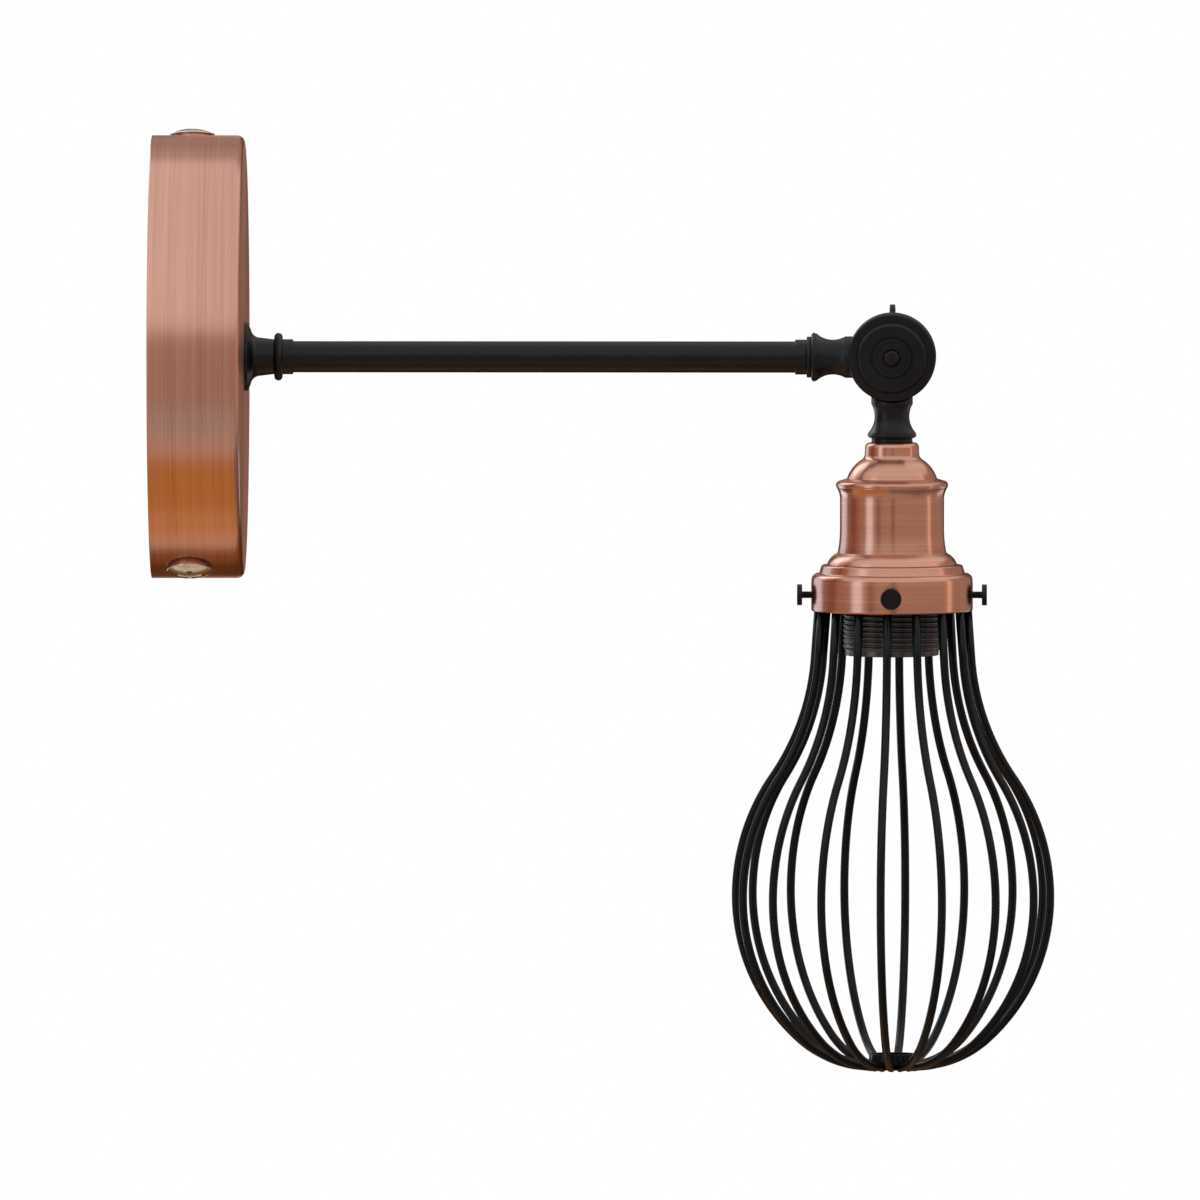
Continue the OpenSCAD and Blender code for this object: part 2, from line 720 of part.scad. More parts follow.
// Rolled rim, straight body, flared foot and rounded shoulder
module holder_body() color(copper) along_head() rotate_extrude() difference() {
    rim_curve = 7.85;
    flare_curve = 44.8;
    flare_h = 9;
    shoulder_r = 6.36;
    shoulder_s = gallery_top + 1.55;
    shoulder_c = body_r + shoulder_out - sqrt(pow(shoulder_r, 2) - pow(1.55, 2));
    union() {
        polygon([[0, dome_edge], [dome_edge_d / 2, dome_edge], [rim_side - rim_r, dome_edge + 0.6],
            [rim_side - rim_r, rim_at + 3], [0, rim_at + 3]]);
        translate([rim_side - rim_r, rim_at]) circle(rim_r);
        translate([0, rim_at]) square([rim_side - 0.1, gallery_top - shoulder_h - rim_at]);
        intersection() {
            translate([shoulder_c, shoulder_s]) circle(shoulder_r);
            translate([0, dome_edge]) square([60, body_h]);
        }
        translate([0, rim_at]) square([body_r, gallery_top - rim_at]);
    }
    translate([body_r + rim_curve, rim_at + 5.4]) circle(rim_curve);
    translate([body_r, rim_at + 5.4])
        square([10, gallery_top - shoulder_h - flare_h - rim_at - 5.4]);
    intersection() {
        translate([body_r + flare_curve, gallery_top - shoulder_h - flare_h])
            circle(flare_curve, $fn = 360);
        translate([0, gallery_top - shoulder_h - flare_h - eps])
            square([60, flare_h + eps]);
    }
    square([12, gallery_top]);
    translate([0, plate_under]) square([holder_bore_r, body_h]);
    translate([shoulder_c, shoulder_s]) circle(shoulder_r - holder_wall);
}

// Stepped gallery with a plain band; the shade ring clamps its inner flange
module gallery() color(copper) difference() {
    along_head() rotate_extrude() difference() {
        union() {
            polygon([[0, gallery_top], [step_d / 2 - 0.6, gallery_top],
                [step_d / 2, gallery_top + 0.6], [step_foot_d / 2, band_top + 0.1],
                [step_foot_d / 2, band_top + 2], [0, band_top + 2]]);
            translate([0, 2 * band_top + band_h]) mirror([0, 1])
                rounded_end(band_r, band_top, gallery_end, gallery_edge_r);
        }
        translate([0, 2 * band_top + band_h + gallery_wall + 1]) mirror([0, 1])
            rounded_end(band_r - gallery_wall, band_top, gallery_end + 1,
                gallery_edge_r - gallery_wall);
        translate([0, gallery_top + gallery_wall])
            square([step_d / 2 - gallery_wall, band_top - gallery_top + 1]);
        square([skirt_d / 2 + 0.3, gallery_end]);
    }
    for (a = [0:90:270]) along_head(thumb_at) rotate([0, 0, a]) rotate([0, 90, 0])
        cylinder(r = thumb_d / 2 + fit_gap, h = gallery_d);
}

module thumb_screw(turn) color(black) along_head(thumb_at) rotate([0, 0, turn])
    rotate([0, 90, 0]) rotate_extrude() {
        square_from = collar_r + 0.1;
        translate([0, square_from])
            square([thumb_d / 2, band_r + thumb_reach - 0.5 - square_from]);
        rounded_end(thumb_head_d / 2, band_r + thumb_reach - thumb_head_t,
            band_r + thumb_reach, 0.3);
    }

module thumb_screw_right() thumb_screw(0);
module thumb_screw_rear() thumb_screw(90);
module thumb_screw_left() thumb_screw(180);
module thumb_screw_front() thumb_screw(270);

// ---- lampholder ----

module lampholder_cap() color(black) along_head() rotate_extrude() difference() {
    union() {
        translate([0, entry_top]) square([8, plate_under - entry_top + 1]);
        translate([0, plate_under]) square([holder_bore_r - hole_gap, cap_joint - plate_under]);
    }
    square([nipple_r + fit_gap, cap_joint]);
    translate([0, plate_under + 2]) square([holder_bore_r - hole_gap - 2, cap_joint]);
}

// Threaded skirt: its crests are rings, because a thread's lead is too small to see
module lampholder_skirt() color(black) along_head() difference() {
    root = skirt_d / 2 - skirt_thread;
    ribs_from = cap_joint + 6;
    ribs = floor((skirt_end - 3 - ribs_from) / skirt_pitch);
    rotate_extrude() difference() {
        union() {
            translate([0, cap_joint]) square([root, skirt_end - 1 - cap_joint]);
            polygon([[0, skirt_end - 1.1], [root, skirt_end - 1.1], [root - 1.1, skirt_end],
                [0, skirt_end]]);
            for (i = [0:ribs - 1]) polygon([[root - eps, ribs_from + (i + 0.02) * skirt_pitch],
                [skirt_d / 2, ribs_from + (i + 0.36) * skirt_pitch],
                [skirt_d / 2, ribs_from + (i + 0.64) * skirt_pitch],
                [root - eps, ribs_from + (i + 0.98) * skirt_pitch]]);
        }
        translate([0, cap_joint + floor_t])
            square([shell_d / 2 + shell_wall + fit_gap, shell_top - cap_joint - floor_t + shell_len]);
        translate([0, shell_top + shell_len]) square([mouth_r, 60]);
    }
    for (x = [-1, 1] * terminal_x) translate([x, 0, cap_joint - 1])
        cylinder(r = 1.6, h = floor_t + 2);
}

module shade_ring() color(black) along_head() difference() {
    from = gallery_top + gallery_wall;
    ring(shade_ring_d / 2, skirt_d / 2 + fit_gap, from, from + shade_ring_h);
    for (a = [0:30:330]) rotate([0, 0, a]) translate([shade_ring_d / 2 + 0.8, 0, from - 1])
        cylinder(r = 1.6, h = shade_ring_h + 2);
}

// Thin shell that takes the bulb's cap, with a flat tongue riveted to the skirt's floor
module screw_shell() color(brass) along_head() {
    floor_s = cap_joint + floor_t;
    outer = shell_d / 2 + shell_wall;
    tongue_x = outer - shell_wall - 0.15;
    ring(outer, shell_d / 2, shell_top, shell_top + shell_len);
    difference() {
        translate([tongue_x, -2, floor_s]) cube([shell_wall, 4, shell_top - floor_s + 0.6]);
        translate([0, 0, shell_top]) cylinder(d = shell_d, h = shell_len);
    }
    translate([7.5, -2, floor_s]) cube([tongue_x - 7.4, 4, shell_wall]);
    translate([terminal_x, 0, cap_joint]) cylinder(r = 1.5, h = floor_t + 0.8);
}

// Bent strip on the floor of the skirt, riveted at one end
module centre_contact() color(brass) along_head() union() {
    floor_s = cap_joint + floor_t;
    rise = shell_top - floor_s - 0.2;
    translate([0, 3, 0]) rotate([90, 0, 0]) linear_extrude(6) polygon([
        [-11.5, floor_s], [-11.5, floor_s + 0.5], [-6.4, floor_s + 0.5],
        [-1.6, floor_s + rise], [1.6, floor_s + rise], [3.2, floor_s + rise - 0.8],
        [3.2, floor_s + rise - 1.3], [1.5, floor_s + rise - 0.5],
        [-1.4, floor_s + rise - 0.5], [-6.2, floor_s]
    ]);
    translate([-terminal_x, 0, cap_joint]) cylinder(r = 1.5, h = floor_t + 1.1);
}

module at_terminals() for (turn = [0, 180]) along_head() rotate([0, 0, turn])
    translate([terminal_x, 0, cap_joint]) children();

// Terminal blocks that stand in the cap, above the floor
module lampholder_terminals() color(brass) at_terminals() difference() {
    translate([-3, -3, -7.5]) cube([6, 6, 7.5]);
    translate([-4, 0, -core_up]) rotate([0, 90, 0]) cylinder(r = core_r + 0.1, h = 5);
    translate([0, 0, -core_up]) rotate([90, 0, 0]) cylinder(r = 1.25 + fit_gap, h = 10);
}

module terminal_screws() color(steel) at_terminals()
    translate([0, -core_r - 0.2, -core_up]) rotate([90, 0, 0]) union() {
        cylinder(r = 1.25, h = 2.6);
        translate([0, 0, 1.8]) cylinder(r = 2.2, h = 1.4);
    }

// ---- cage ----

module cage_collar() color(black) along_head() {
    top = collar_end - cage_collar_h;
    ring(collar_r, collar_r - cage_collar_t, top, collar_end);
    ring(collar_r - cage_collar_t / 2, collar_r - wire_d - 0.2, collar_end - 1, collar_end);
}

// Middle line of one wire, as points (radius, distance below the hinge):
// a cone from the collar, a hollow curve, the two belly curves and the turn to the foot
belly_up = [belly_r - upper_r, belly_at];
meet = [belly_up[0] + upper_r * cos(cage_slope), belly_at - upper_r * sin(cage_slope)];
wire_top_r = collar_r - wire_d / 2;
// The hollow's radius follows from the collar, so that the cone ends on it
hollow_run = meet[1] - collar_end;
hollow_r = (meet[0] - wire_top_r - hollow_run * tan(neck_slope))
    / ((cos(neck_slope) - cos(cage_slope)) - (sin(cage_slope) - sin(neck_slope)) * tan(neck_slope));
hollow_c = [meet[0] + hollow_r * cos(cage_slope), meet[1] - hollow_r * sin(cage_slope)];
belly_low = [belly_r - lower_r, belly_at];
curve_gap = lower_r - foot_r;
turn_drop = foot_drop - foot_r;
turn_c = [belly_low[0] + sqrt(pow(curve_gap, 2) - pow(turn_drop, 2)), foot_at - foot_r];
turn_from = asin(turn_drop / curve_gap);
foot_ring_r = foot_ring_d / 2;
turn_to = min(90, acos((foot_ring_r - turn_c[0]) / foot_r));

function arc(c, r, from, to, n) = [for (i = [0:n])
    let (a = from + (to - from) * i / n) [c[0] + r * cos(a), c[1] + r * sin(a)]];

wire_line = concat(
    [[wire_top_r, collar_end]],
    arc(hollow_c, -hollow_r, -neck_slope, -cage_slope, 6),
    [for (i = [1:7]) arc(belly_up, upper_r, -cage_slope, 0, 7)[i]],
    [for (i = [1:6]) arc(belly_low, lower_r, 0, turn_from, 6)[i]],
    [for (i = [1:6]) arc(turn_c, foot_r, turn_from, turn_to, 6)[i]],
    turn_c[0] > foot_ring_r + 0.5 ? [[foot_ring_r, foot_at]] : []
);

module cage_wires() color(black) for (i = [0:wire_count - 1])
    along_head() rotate([0, 0, -90 - wire_turn + i * 360 / wire_count])
        swept_wire([for (p = wire_line) [p[0], 0, p[1]]], wire_d / 2, [0, 1, 0],
            [0, 0, 1], [-sin(turn_to), 0, cos(turn_to)]);

module cage_foot_ring() color(black) along_head()
    bevelled_ring(foot_ring_r, foot_ring_r - foot_ring_wall, foot_ring_end - foot_ring_h,
        foot_ring_end, 0.2);

// ---- wires inside ----

// Places of the two cores where they cross the knuckle, between its boss and its wall
stub_room = chamber_r - boss_r - 2 * core_r;
stub_near = (boss_r + core_r + 0.42 * stub_room) * sin(45);
stub_far = (chamber_r - core_r - 0.12 * stub_room) * sin(45);
block_top = -block_drop + block_len / 2;

// One core of the arm's pair: from a pole of the block, through the tube, to the knuckle
function arm_route(pole, z, end) = [
    [plate_t + tube_up, pole, block_top - 5],
    [plate_t + tube_up, pole, block_top + 4],
    [plate_t + tube_up + 1, pole, -tube_up],
    [nipple_back - 11, pole, z],
    [nipple_back - 5, core_y, z],
    [nipple_back + 1, core_y, z],
    [nipple_back + 14, core_y, z],
    [arm_reach - waist_at, core_y, z],
    [arm_reach - neck_root, core_y, z],
    [arm_reach - chamber_r + 2.3, core_y - 0.6, z - 0.4],
    [arm_reach - end - 0.8, core_y - 2, -end + 3],
    [arm_reach - end, core_y - 2, -end],
    [arm_reach - end, -0.4, -end]
];

module arm_wires() color("saddlebrown") {
    swept_wire(smooth(arm_route(-pole_pitch, core_z, stub_near), 2), core_r, [1, 0, 0],
        [0, 0, 1], [0, 1, 0]);
    swept_wire(smooth(arm_route(pole_pitch, -core_z, stub_far), 2), core_r, [1, 0, 0],
        [0, 0, 1], [0, 1, 0]);
}

// One core of the head's pair: from the knuckle, down the neck, to a terminal
function head_route(end, x, side) = [
    [arm_reach - end, 0.4, -end],
    [arm_reach - end, -core_y + 1, -end],
    [arm_reach - end + 1.5, -core_y + 2.2, -end - 0.5],
    [arm_reach + x * 1.1 - 0.5, -core_y + 0.4, -chamber_r + 1.8],
    [arm_reach + x, -core_y, -neck_root],
    [arm_reach + x, -core_y, -neck_len],
    [arm_reach + x, -core_y, -entry_top - 8],
    [arm_reach + x, -core_y, -plate_under - 2.5],
    [arm_reach + side * 1.8, 0.6, -cap_joint + core_up + 1],
    [arm_reach + side * 4.2, 0, -cap_joint + core_up],
    [arm_reach + side * (terminal_x - 1), 0, -cap_joint + core_up]
];

module head_wires() color("saddlebrown") {
    swept_wire(smooth(head_route(stub_near, core_z, 1), 2), core_r, [1, 0, 0],
        [0, 1, 0], [1, 0, 0]);
    swept_wire(smooth(head_route(stub_far, -core_z, -1), 2), core_r, [1, 0, 0],
        [0, 1, 0], [-1, 0, 0]);
}

// Earth core from the middle pole to the earth screw's cup
module earth_wire() color("green") swept_wire(smooth([
    [plate_t + tube_up, 0, block_top - 5],
    [plate_t + tube_up, 0, block_top + 7],
    [plate_t + 3, earth_at[0] / 2, -8],
    [plate_t + 2, earth_at[0] + 2, 4],
    [plate_t + 1.85, earth_at[0], earth_at[1] - 10],
    [plate_t + 1.85, earth_at[0], earth_at[1] - 2.1]
], 2), core_r, [1, 0, 0], [0, 0, 1], [0, 0, 1]);

wall_plate();
wall_rose();
side_screws();
side_spacers();
earth_screw();
connection_block();
connection_tubes();
connection_screws();
rose_nipple();
rose_nut();
rose_washer();
arm_flange();
arm_bead();
arm_tube();
arm_ferrule();
arm_lock_ring();
knuckle_nipple();
knuckle_arm_half();
knuckle_cap();
knuckle_bolt();
friction_ring();
earth_wire();
arm_wires();
knuckle_head_half();
spring_washer();
head_lock_ring();
head_nipple();
holder_cap();
holder_body();
gallery();
lampholder_cap();
lampholder_skirt();
shade_ring();
screw_shell();
centre_contact();
lampholder_terminals();
terminal_screws();
head_wires();
wing_nut();
thumb_screw_front();
thumb_screw_right();
thumb_screw_rear();
thumb_screw_left();
cage_collar();
cage_wires();
cage_foot_ring();
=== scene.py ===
# Cage wall light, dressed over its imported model. +X leaves the wall and +Z is up. Sizes are in
# mm, and makePiece turns them to metres; the studio's are in metres.
import math

import bmesh
import bpy
import numpy as np
from mathutils import Matrix, Vector


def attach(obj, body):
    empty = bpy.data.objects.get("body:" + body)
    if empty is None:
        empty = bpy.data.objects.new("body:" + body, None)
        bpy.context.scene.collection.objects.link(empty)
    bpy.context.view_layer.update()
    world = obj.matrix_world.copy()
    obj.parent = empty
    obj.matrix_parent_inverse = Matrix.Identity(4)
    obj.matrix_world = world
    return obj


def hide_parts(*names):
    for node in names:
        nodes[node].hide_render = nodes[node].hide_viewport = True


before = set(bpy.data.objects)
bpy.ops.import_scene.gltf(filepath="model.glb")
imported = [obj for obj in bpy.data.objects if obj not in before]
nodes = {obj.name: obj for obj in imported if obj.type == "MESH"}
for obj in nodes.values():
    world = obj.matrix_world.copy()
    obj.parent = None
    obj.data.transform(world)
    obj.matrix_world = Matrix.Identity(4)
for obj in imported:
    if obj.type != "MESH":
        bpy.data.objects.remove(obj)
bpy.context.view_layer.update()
print("frame loaded,", len(nodes), "nodes")

mm = 0.001
wallMiddle = np.zeros(3)
hinge = np.array([274.1, 0, 0])
rightwards, rearwards, upwards = np.eye(3)
# Each way a piece is turned: its axis, then the two directions that its angle runs through
outward = (rightwards, rearwards, upwards)
backward = (-rightwards, upwards, rearwards)
downward = (-upwards, rearwards, rightwards)
forward = (-rearwards, rightwards, upwards)
rearward = (rearwards, upwards, rightwards)


def roundCorners(corners, steps=5):
    # Every corner (radius, distance, rounding) becomes an arc. Its centre lies on the corner's
    # bisector at rounding / sin(half the angle); u and v are the radii to the two tangent points.
    # One point just outside each end of the arc keeps the flats beside it flat when shaded.
    corner = np.array(corners, float)
    place, rounding = corner[:, :2], corner[:, 2:3]
    toLast = np.roll(place, 1, 0) - place
    toNext = np.roll(place, -1, 0) - place
    lastLength = np.linalg.norm(toLast, axis=1, keepdims=True)
    nextLength = np.linalg.norm(toNext, axis=1, keepdims=True)
    toLast, toNext = toLast / lastLength, toNext / nextLength
    half = np.arccos(np.clip((toLast * toNext).sum(1, keepdims=True), -1, 1)) / 2
    half = np.clip(half, 0.02, math.pi / 2 - 0.001)
    reach = rounding / np.tan(half)
    bisector = toLast + toNext
    bisector /= np.maximum(np.linalg.norm(bisector, axis=1, keepdims=True), 1e-9)
    centre = place + bisector * rounding / np.sin(half)
    u = place + toLast * reach - centre
    v = place + toNext * reach - centre
    swing = (math.pi - 2 * half)[:, None, :]
    t = np.linspace(0, 1, steps)[None, :, None]
    arc = centre[:, None] + (np.sin((1 - t) * swing) * u[:, None]
                             + np.sin(t * swing) * v[:, None]) / np.sin(swing)
    early = place + toLast * (reach + np.minimum(0.08, 0.1 * lastLength))
    late = place + toNext * (reach + np.minimum(0.08, 0.1 * nextLength))
    return np.concatenate([early[:, None], arc, late[:, None]], 1).reshape(-1, 2)


def roundOpen(corners, steps=5):
    # The same along an open outline: its first and last corners stay single points
    ends = np.array(corners, float)[:, :2]
    return np.vstack([ends[:1], roundCorners(corners, steps)[steps + 2:-steps - 2], ends[-1:]])


def arcCorners(middle, at, radius, start, end, count):
    # Points of a profile round (middle, at), in degrees: 0 points outwards, 90 along the axis
    return [(middle + radius * math.cos(t), at + radius * math.sin(t), 0.01)
            for t in np.radians(np.linspace(start, end, count))]


def anglesRound(count):
    # One row of equal steps round a full turn
    return np.linspace(0, 2 * math.pi, count, endpoint=False)[None, :]


def turnedGrid(r, s, way, origin, segments):
    # point = origin + s * axis + r * (cos(angle) * first + sin(angle) * second), where r and s
    # are columns, a row for each point of the profile, or also change round the axis
    axis, first, second = way
    angle = anglesRound(segments)[..., None]
    return origin + s[..., None] * axis \
        + r[..., None] * (np.cos(angle) * first + np.sin(angle) * second)


def latticeFaces(rows, columns, wrapRows, wrapColumns=True):
    # Quads between neighbouring points of a rows x columns grid
    row = np.arange(rows if wrapRows else rows - 1)[:, None]
    column = np.arange(columns if wrapColumns else columns - 1)[None, :]
    nextRow, nextColumn = (row + 1) % rows, (column + 1) % columns
    return np.stack([row * columns + column, row * columns + nextColumn,
                     nextRow * columns + nextColumn, nextRow * columns + column], -1).reshape(-1, 4)


def addPiece(name, mesh, material, body, node):
    mesh.polygons.foreach_set("use_smooth", np.ones(len(mesh.polygons), bool))
    mesh.materials.clear()
    mesh.materials.append(material)
    piece = bpy.data.objects.new(name, mesh)
    bpy.context.scene.collection.objects.link(piece)
    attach(piece, body)
    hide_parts(node)
    return piece


def makePiece(name, grids, material, body, node):
    # Each grid comes with whether its last row joins its first; its faces count on from the
    # points of the grids before it
    points, faces, count = [], [], 0
    for grid, wrapRows in grids:
        points.append(grid.reshape(-1, 3) * mm)
        faces.append(latticeFaces(*grid.shape[:2], wrapRows) + count)
        count += len(points[-1])
    mesh = bpy.data.meshes.new(name)
    mesh.from_pydata(np.concatenate(points).tolist(), [], np.concatenate(faces).tolist())
    build = bmesh.new()
    build.from_mesh(mesh)
    bmesh.ops.remove_doubles(build, verts=build.verts, dist=1e-7)
    bmesh.ops.recalc_face_normals(build, faces=build.faces)
    build.to_mesh(mesh)
    build.free()
    addPiece(name, mesh, material, body, node)


def turnedPiece(name, corners, way, material, body, node, origin=hinge, segments=160):
    # A closed profile of (radius, distance along the axis, rounding), turned round its axis
    profile = roundCorners(corners)
    grid = turnedGrid(profile[:, :1], profile[:, 1:], way, origin, segments)
    makePiece(name, [(grid, True)], material, body, node)


def toLinear(hexColour):
    # sRGB to linear: x / 12.92 up to 0.04045, and ((x + 0.055) / 1.055) to the power 2.4 above
    parts = np.array([int(hexColour[i:i + 2], 16) for i in (1, 3, 5)]) / 255
    return (*np.where(parts <= 0.04045, parts / 12.92, ((parts + 0.055) / 1.055) ** 2.4), 1)


def addNode(tree, kind, settings=None, links=None):
    # Settings name the node's own properties or its inputs; links give an input its output
    node = tree.nodes.new(kind)
    for key, value in (settings or {}).items():
        if isinstance(key, str) and hasattr(node, key):
            setattr(node, key, value)
        else:
            node.inputs[key].default_value = value
    for key, output in (links or {}).items():
        tree.links.new(output, node.inputs[key])
    return node


def startMaterial(name, sockets):
    material = bpy.data.materials.new(name)
    material.use_nodes = True
    shader = material.node_tree.nodes["Principled BSDF"]
    for key, value in sockets.items():
        shader.inputs[key].default_value = value
    return material, material.node_tree, shader


def makeMaterial(name, look):
    # The noise "tone" blends two colours, with a broader one mixed in where there is one; the
    # roughness follows "gloss", and "skin" lifts the surface. Both fall back on the tone.
    # Each noise is (width of its grain in mm, in one number or along X, Y and Z; detail)
    material, tree, shader = startMaterial(name, look["sockets"])
    where = addNode(tree, "ShaderNodeTexCoord").outputs["Object"]
    noise = {}
    for use in ("tone", "broad", "gloss", "skin"):
        if use not in look:
            continue
        width, detail = look[use]
        scaled = addNode(tree, "ShaderNodeMapping", {"Scale": np.ones(3) / (np.array(width) * mm)},
                         {"Vector": where})
        noise[use] = addNode(tree, "ShaderNodeTexNoise",
                             {"Scale": 1, "Detail": detail, "Roughness": 0.6},
                             {"Vector": scaled.outputs["Vector"]}).outputs["Fac"]
    amount = noise["tone"]
    if "broad" in noise:
        amount = addNode(tree, "ShaderNodeMix", {"Factor": 0.4},
                         {"A": amount, "B": noise["broad"]}).outputs["Result"]
    ramp = addNode(tree, "ShaderNodeValToRGB", {}, {"Fac": amount})
    for stop, place, colour in zip(ramp.color_ramp.elements, look["blend"], look["colours"]):
        stop.position, stop.color = place, toLinear(colour)
    tree.links.new(ramp.outputs["Color"], shader.inputs["Base Color"])
    low, high = look["roughness"]
    gloss = addNode(tree, "ShaderNodeMapRange",
                    {"From Min": 0.3, "From Max": 0.7, "To Min": low, "To Max": high},
                    {"Value": noise.get("gloss", amount)})
    tree.links.new(gloss.outputs["Result"], shader.inputs["Roughness"])
    if "relief" in look:
        strength, depth = look["relief"]
        bump = addNode(tree, "ShaderNodeBump", {"Strength": strength, "Distance": depth * mm},
                       {"Height": noise.get("skin", noise["tone"])})
        tree.links.new(bump.outputs["Normal"], shader.inputs["Normal"])
    if "turnedAbout" in look:
        around = addNode(tree, "ShaderNodeTangent", {"direction_type": "RADIAL",
                                                     "axis": look["turnedAbout"]})
        tree.links.new(around.outputs["Tangent"], shader.inputs["Tangent"])
    return material


# What the surfaces of one kind share
powderCoated = {"sockets": {"Specular IOR Level": 0.28}, "tone": (1000 / 60, 3), "skin": (0.5, 2),
                "blend": (0.35, 0.65), "relief": (0.25, 0.03)}
plated = {"sockets": {"Metallic": 1}, "tone": (1000 / 220, 4), "gloss": ((0.4, 6.25, 6.25), 2),
          "blend": (0.35, 0.65)}
moulded = {"sockets": {"Specular IOR Level": 0.45}, "tone": (0.4, 3), "blend": (0.35, 0.65),
           "relief": (0.2, 0.03)}

# Spun steel, copper plated, brushed on the lathe and lacquered: fine lines run round the axis, so
# highlights stretch along it. The real lines are finer; 0.5 mm is as fine as shows here
roseCopper = makeMaterial("brushedCopperRose", {
    "sockets": {"Metallic": 1, "Anisotropic": 0.7, "Anisotropic Rotation": 0.25},
    "tone": ((0.55, 1000 / 9, 1000 / 9), 3), "broad": ((0.55 / 0.13, 1000 / 5.4, 1000 / 5.4), 3),
    "colours": ("#BF8D7C", "#D3A391"), "blend": (0.36, 0.64), "roughness": (0.24, 0.33),
    "relief": (0.1, 0.04), "turnedAbout": "X"})
# The same finish on the holder's smaller spinnings: closer lines and a crisper highlight
holderCopper = makeMaterial("brushedCopperHolder", {
    "sockets": {"Metallic": 1, "Anisotropic": 0.75, "Anisotropic Rotation": 0.25},
    "tone": ((1000 / 9, 1000 / 9, 0.45), 3), "broad": ((1000 / 5.4, 1000 / 5.4, 0.45 / 0.13), 3),
    "colours": ("#BE8B76", "#CF9C88"), "blend": (0.36, 0.64), "roughness": (0.22, 0.28),
    "relief": (0.05, 0.04), "turnedAbout": "Z"})
# Steel under satin powder coat: nearly black, with a soft sheen and a faint orange peel
satinBlack = makeMaterial("satinBlackPowderCoat", {
    **powderCoated, "colours": ("#03070A", "#070C10"), "roughness": (0.28, 0.37)})
# A thinner coat on the wires: tighter glints and less sheen
cageBlack = makeMaterial("satinBlackCageCoat", {
    **powderCoated, "sockets": {"Specular IOR Level": 0.2}, "skin": (0.6, 2),
    "colours": ("#04080B", "#070B0F"), "roughness": (0.19, 0.28)})
# Chemically blackened steel: dark grey metal with a dull shine
blackenedSteel = makeMaterial("blackenedSteelPin", {
    **plated, "colours": ("#2A2B2C", "#3E3F40"), "roughness": (0.3, 0.4)})
# Polished chrome plate: bright and nearly a mirror
chromePlate = makeMaterial("brightChromePlate", {
    **plated, "colours": ("#C2C8CE", "#DCE2E8"), "roughness": (0.12, 0.22)})
# Barrel zinc plate: pale blue grey and dull, with faint clouds
zincPlate = makeMaterial("dullZincPlate", {
    **plated, "colours": ("#A7ABB2", "#C9CCD1"), "roughness": (0.3, 0.4)})
# Copper plate as it leaves the bath, unbrushed: an even, soft shine. Its colour is lightened to lift
# the spacers out of the shade they sit in under the screw heads: painted light
spacerCopperPaintedLight = makeMaterial("smoothCopperPlatePaintedLight", {
    **plated, "colours": ("#CC907A", "#DDA38D"), "roughness": (0.4, 0.5)})
# Rolled brass strip: yellow metal with faint handling marks
rolledBrass = makeMaterial("rolledBrass", {
    **plated, "colours": ("#B8923F", "#D9B866"), "roughness": (0.24, 0.34)})
# Compression-moulded phenolic: hard and glossy black, with a barely uneven skin
blackPhenolic = makeMaterial("mouldedBlackPhenolic", {
    **moulded, "sockets": {"Specular IOR Level": 1}, "tone": (1.5, 3), "relief": (0.05, 0.03),
    "colours": ("#131518", "#1A1C1F"), "roughness": (0.27, 0.36)})
# Injection-moulded nylon: warm white with a fine matt skin
ivoryNylon = makeMaterial("mouldedIvoryNylon", {
    **moulded, "colours": ("#DDD5C2", "#ECE6D6"), "roughness": (0.42, 0.51)})
# Extruded sheaths of the cores: plain colour, slightly waxy
brownSheath = makeMaterial("extrudedBrownSheath", {
    **moulded, "colours": ("#472818", "#5A3420"), "roughness": (0.47, 0.56)})
greenSheath = makeMaterial("extrudedGreenSheath", {
    **moulded, "colours": ("#4F7A35", "#7C9A35"), "roughness": (0.47, 0.56)})
# Pressed and punched fibre: dark and matt, with its fibres as a fine grain
pressedFibre = makeMaterial("pressedFibreRing", {
    **moulded, "tone": (0.2, 3), "colours": ("#1B1714", "#2C2622"), "roughness": (0.67, 0.76)})

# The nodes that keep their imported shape
nodeFinish = {
    "wall_plate": zincPlate, "earth_screw": rolledBrass, "connection_block": ivoryNylon,
    "connection_tubes": rolledBrass, "connection_screws": zincPlate, "rose_nipple": zincPlate,
    "rose_nut": zincPlate, "rose_washer": zincPlate, "knuckle_nipple": zincPlate,
    "friction_ring": pressedFibre, "earth_wire": greenSheath, "arm_wires": brownSheath,
    "spring_washer": zincPlate, "head_nipple": zincPlate, "lampholder_cap": blackPhenolic,
    "shade_ring": blackPhenolic, "screw_shell": rolledBrass, "centre_contact": rolledBrass,
    "lampholder_terminals": rolledBrass, "terminal_screws": zincPlate, "head_wires": brownSheath}
for node, finish in nodeFinish.items():
    nodes[node].data.materials.clear()
    nodes[node].data.materials.append(finish)
print("materials made")

rose = {"radius": 82.0, "depth": 34.3, "wall": 1.2, "edge": 2.6, "hem": 0.35, "hole": 5.3}
roseInside, roseFloor = rose["radius"] - rose["wall"], rose["depth"] - rose["wall"]
turnedPiece("roseCup", [
    (rose["radius"], 0, rose["hem"]), (rose["radius"], rose["depth"], rose["edge"]),
    (rose["hole"], rose["depth"], 0.2), (rose["hole"], roseFloor, 0.2),
    (roseInside, roseFloor, rose["edge"] - rose["wall"]), (roseInside, 0, rose["hem"])],
    outward, roseCopper, "wall_arm", "wall_rose", wallMiddle, 288)

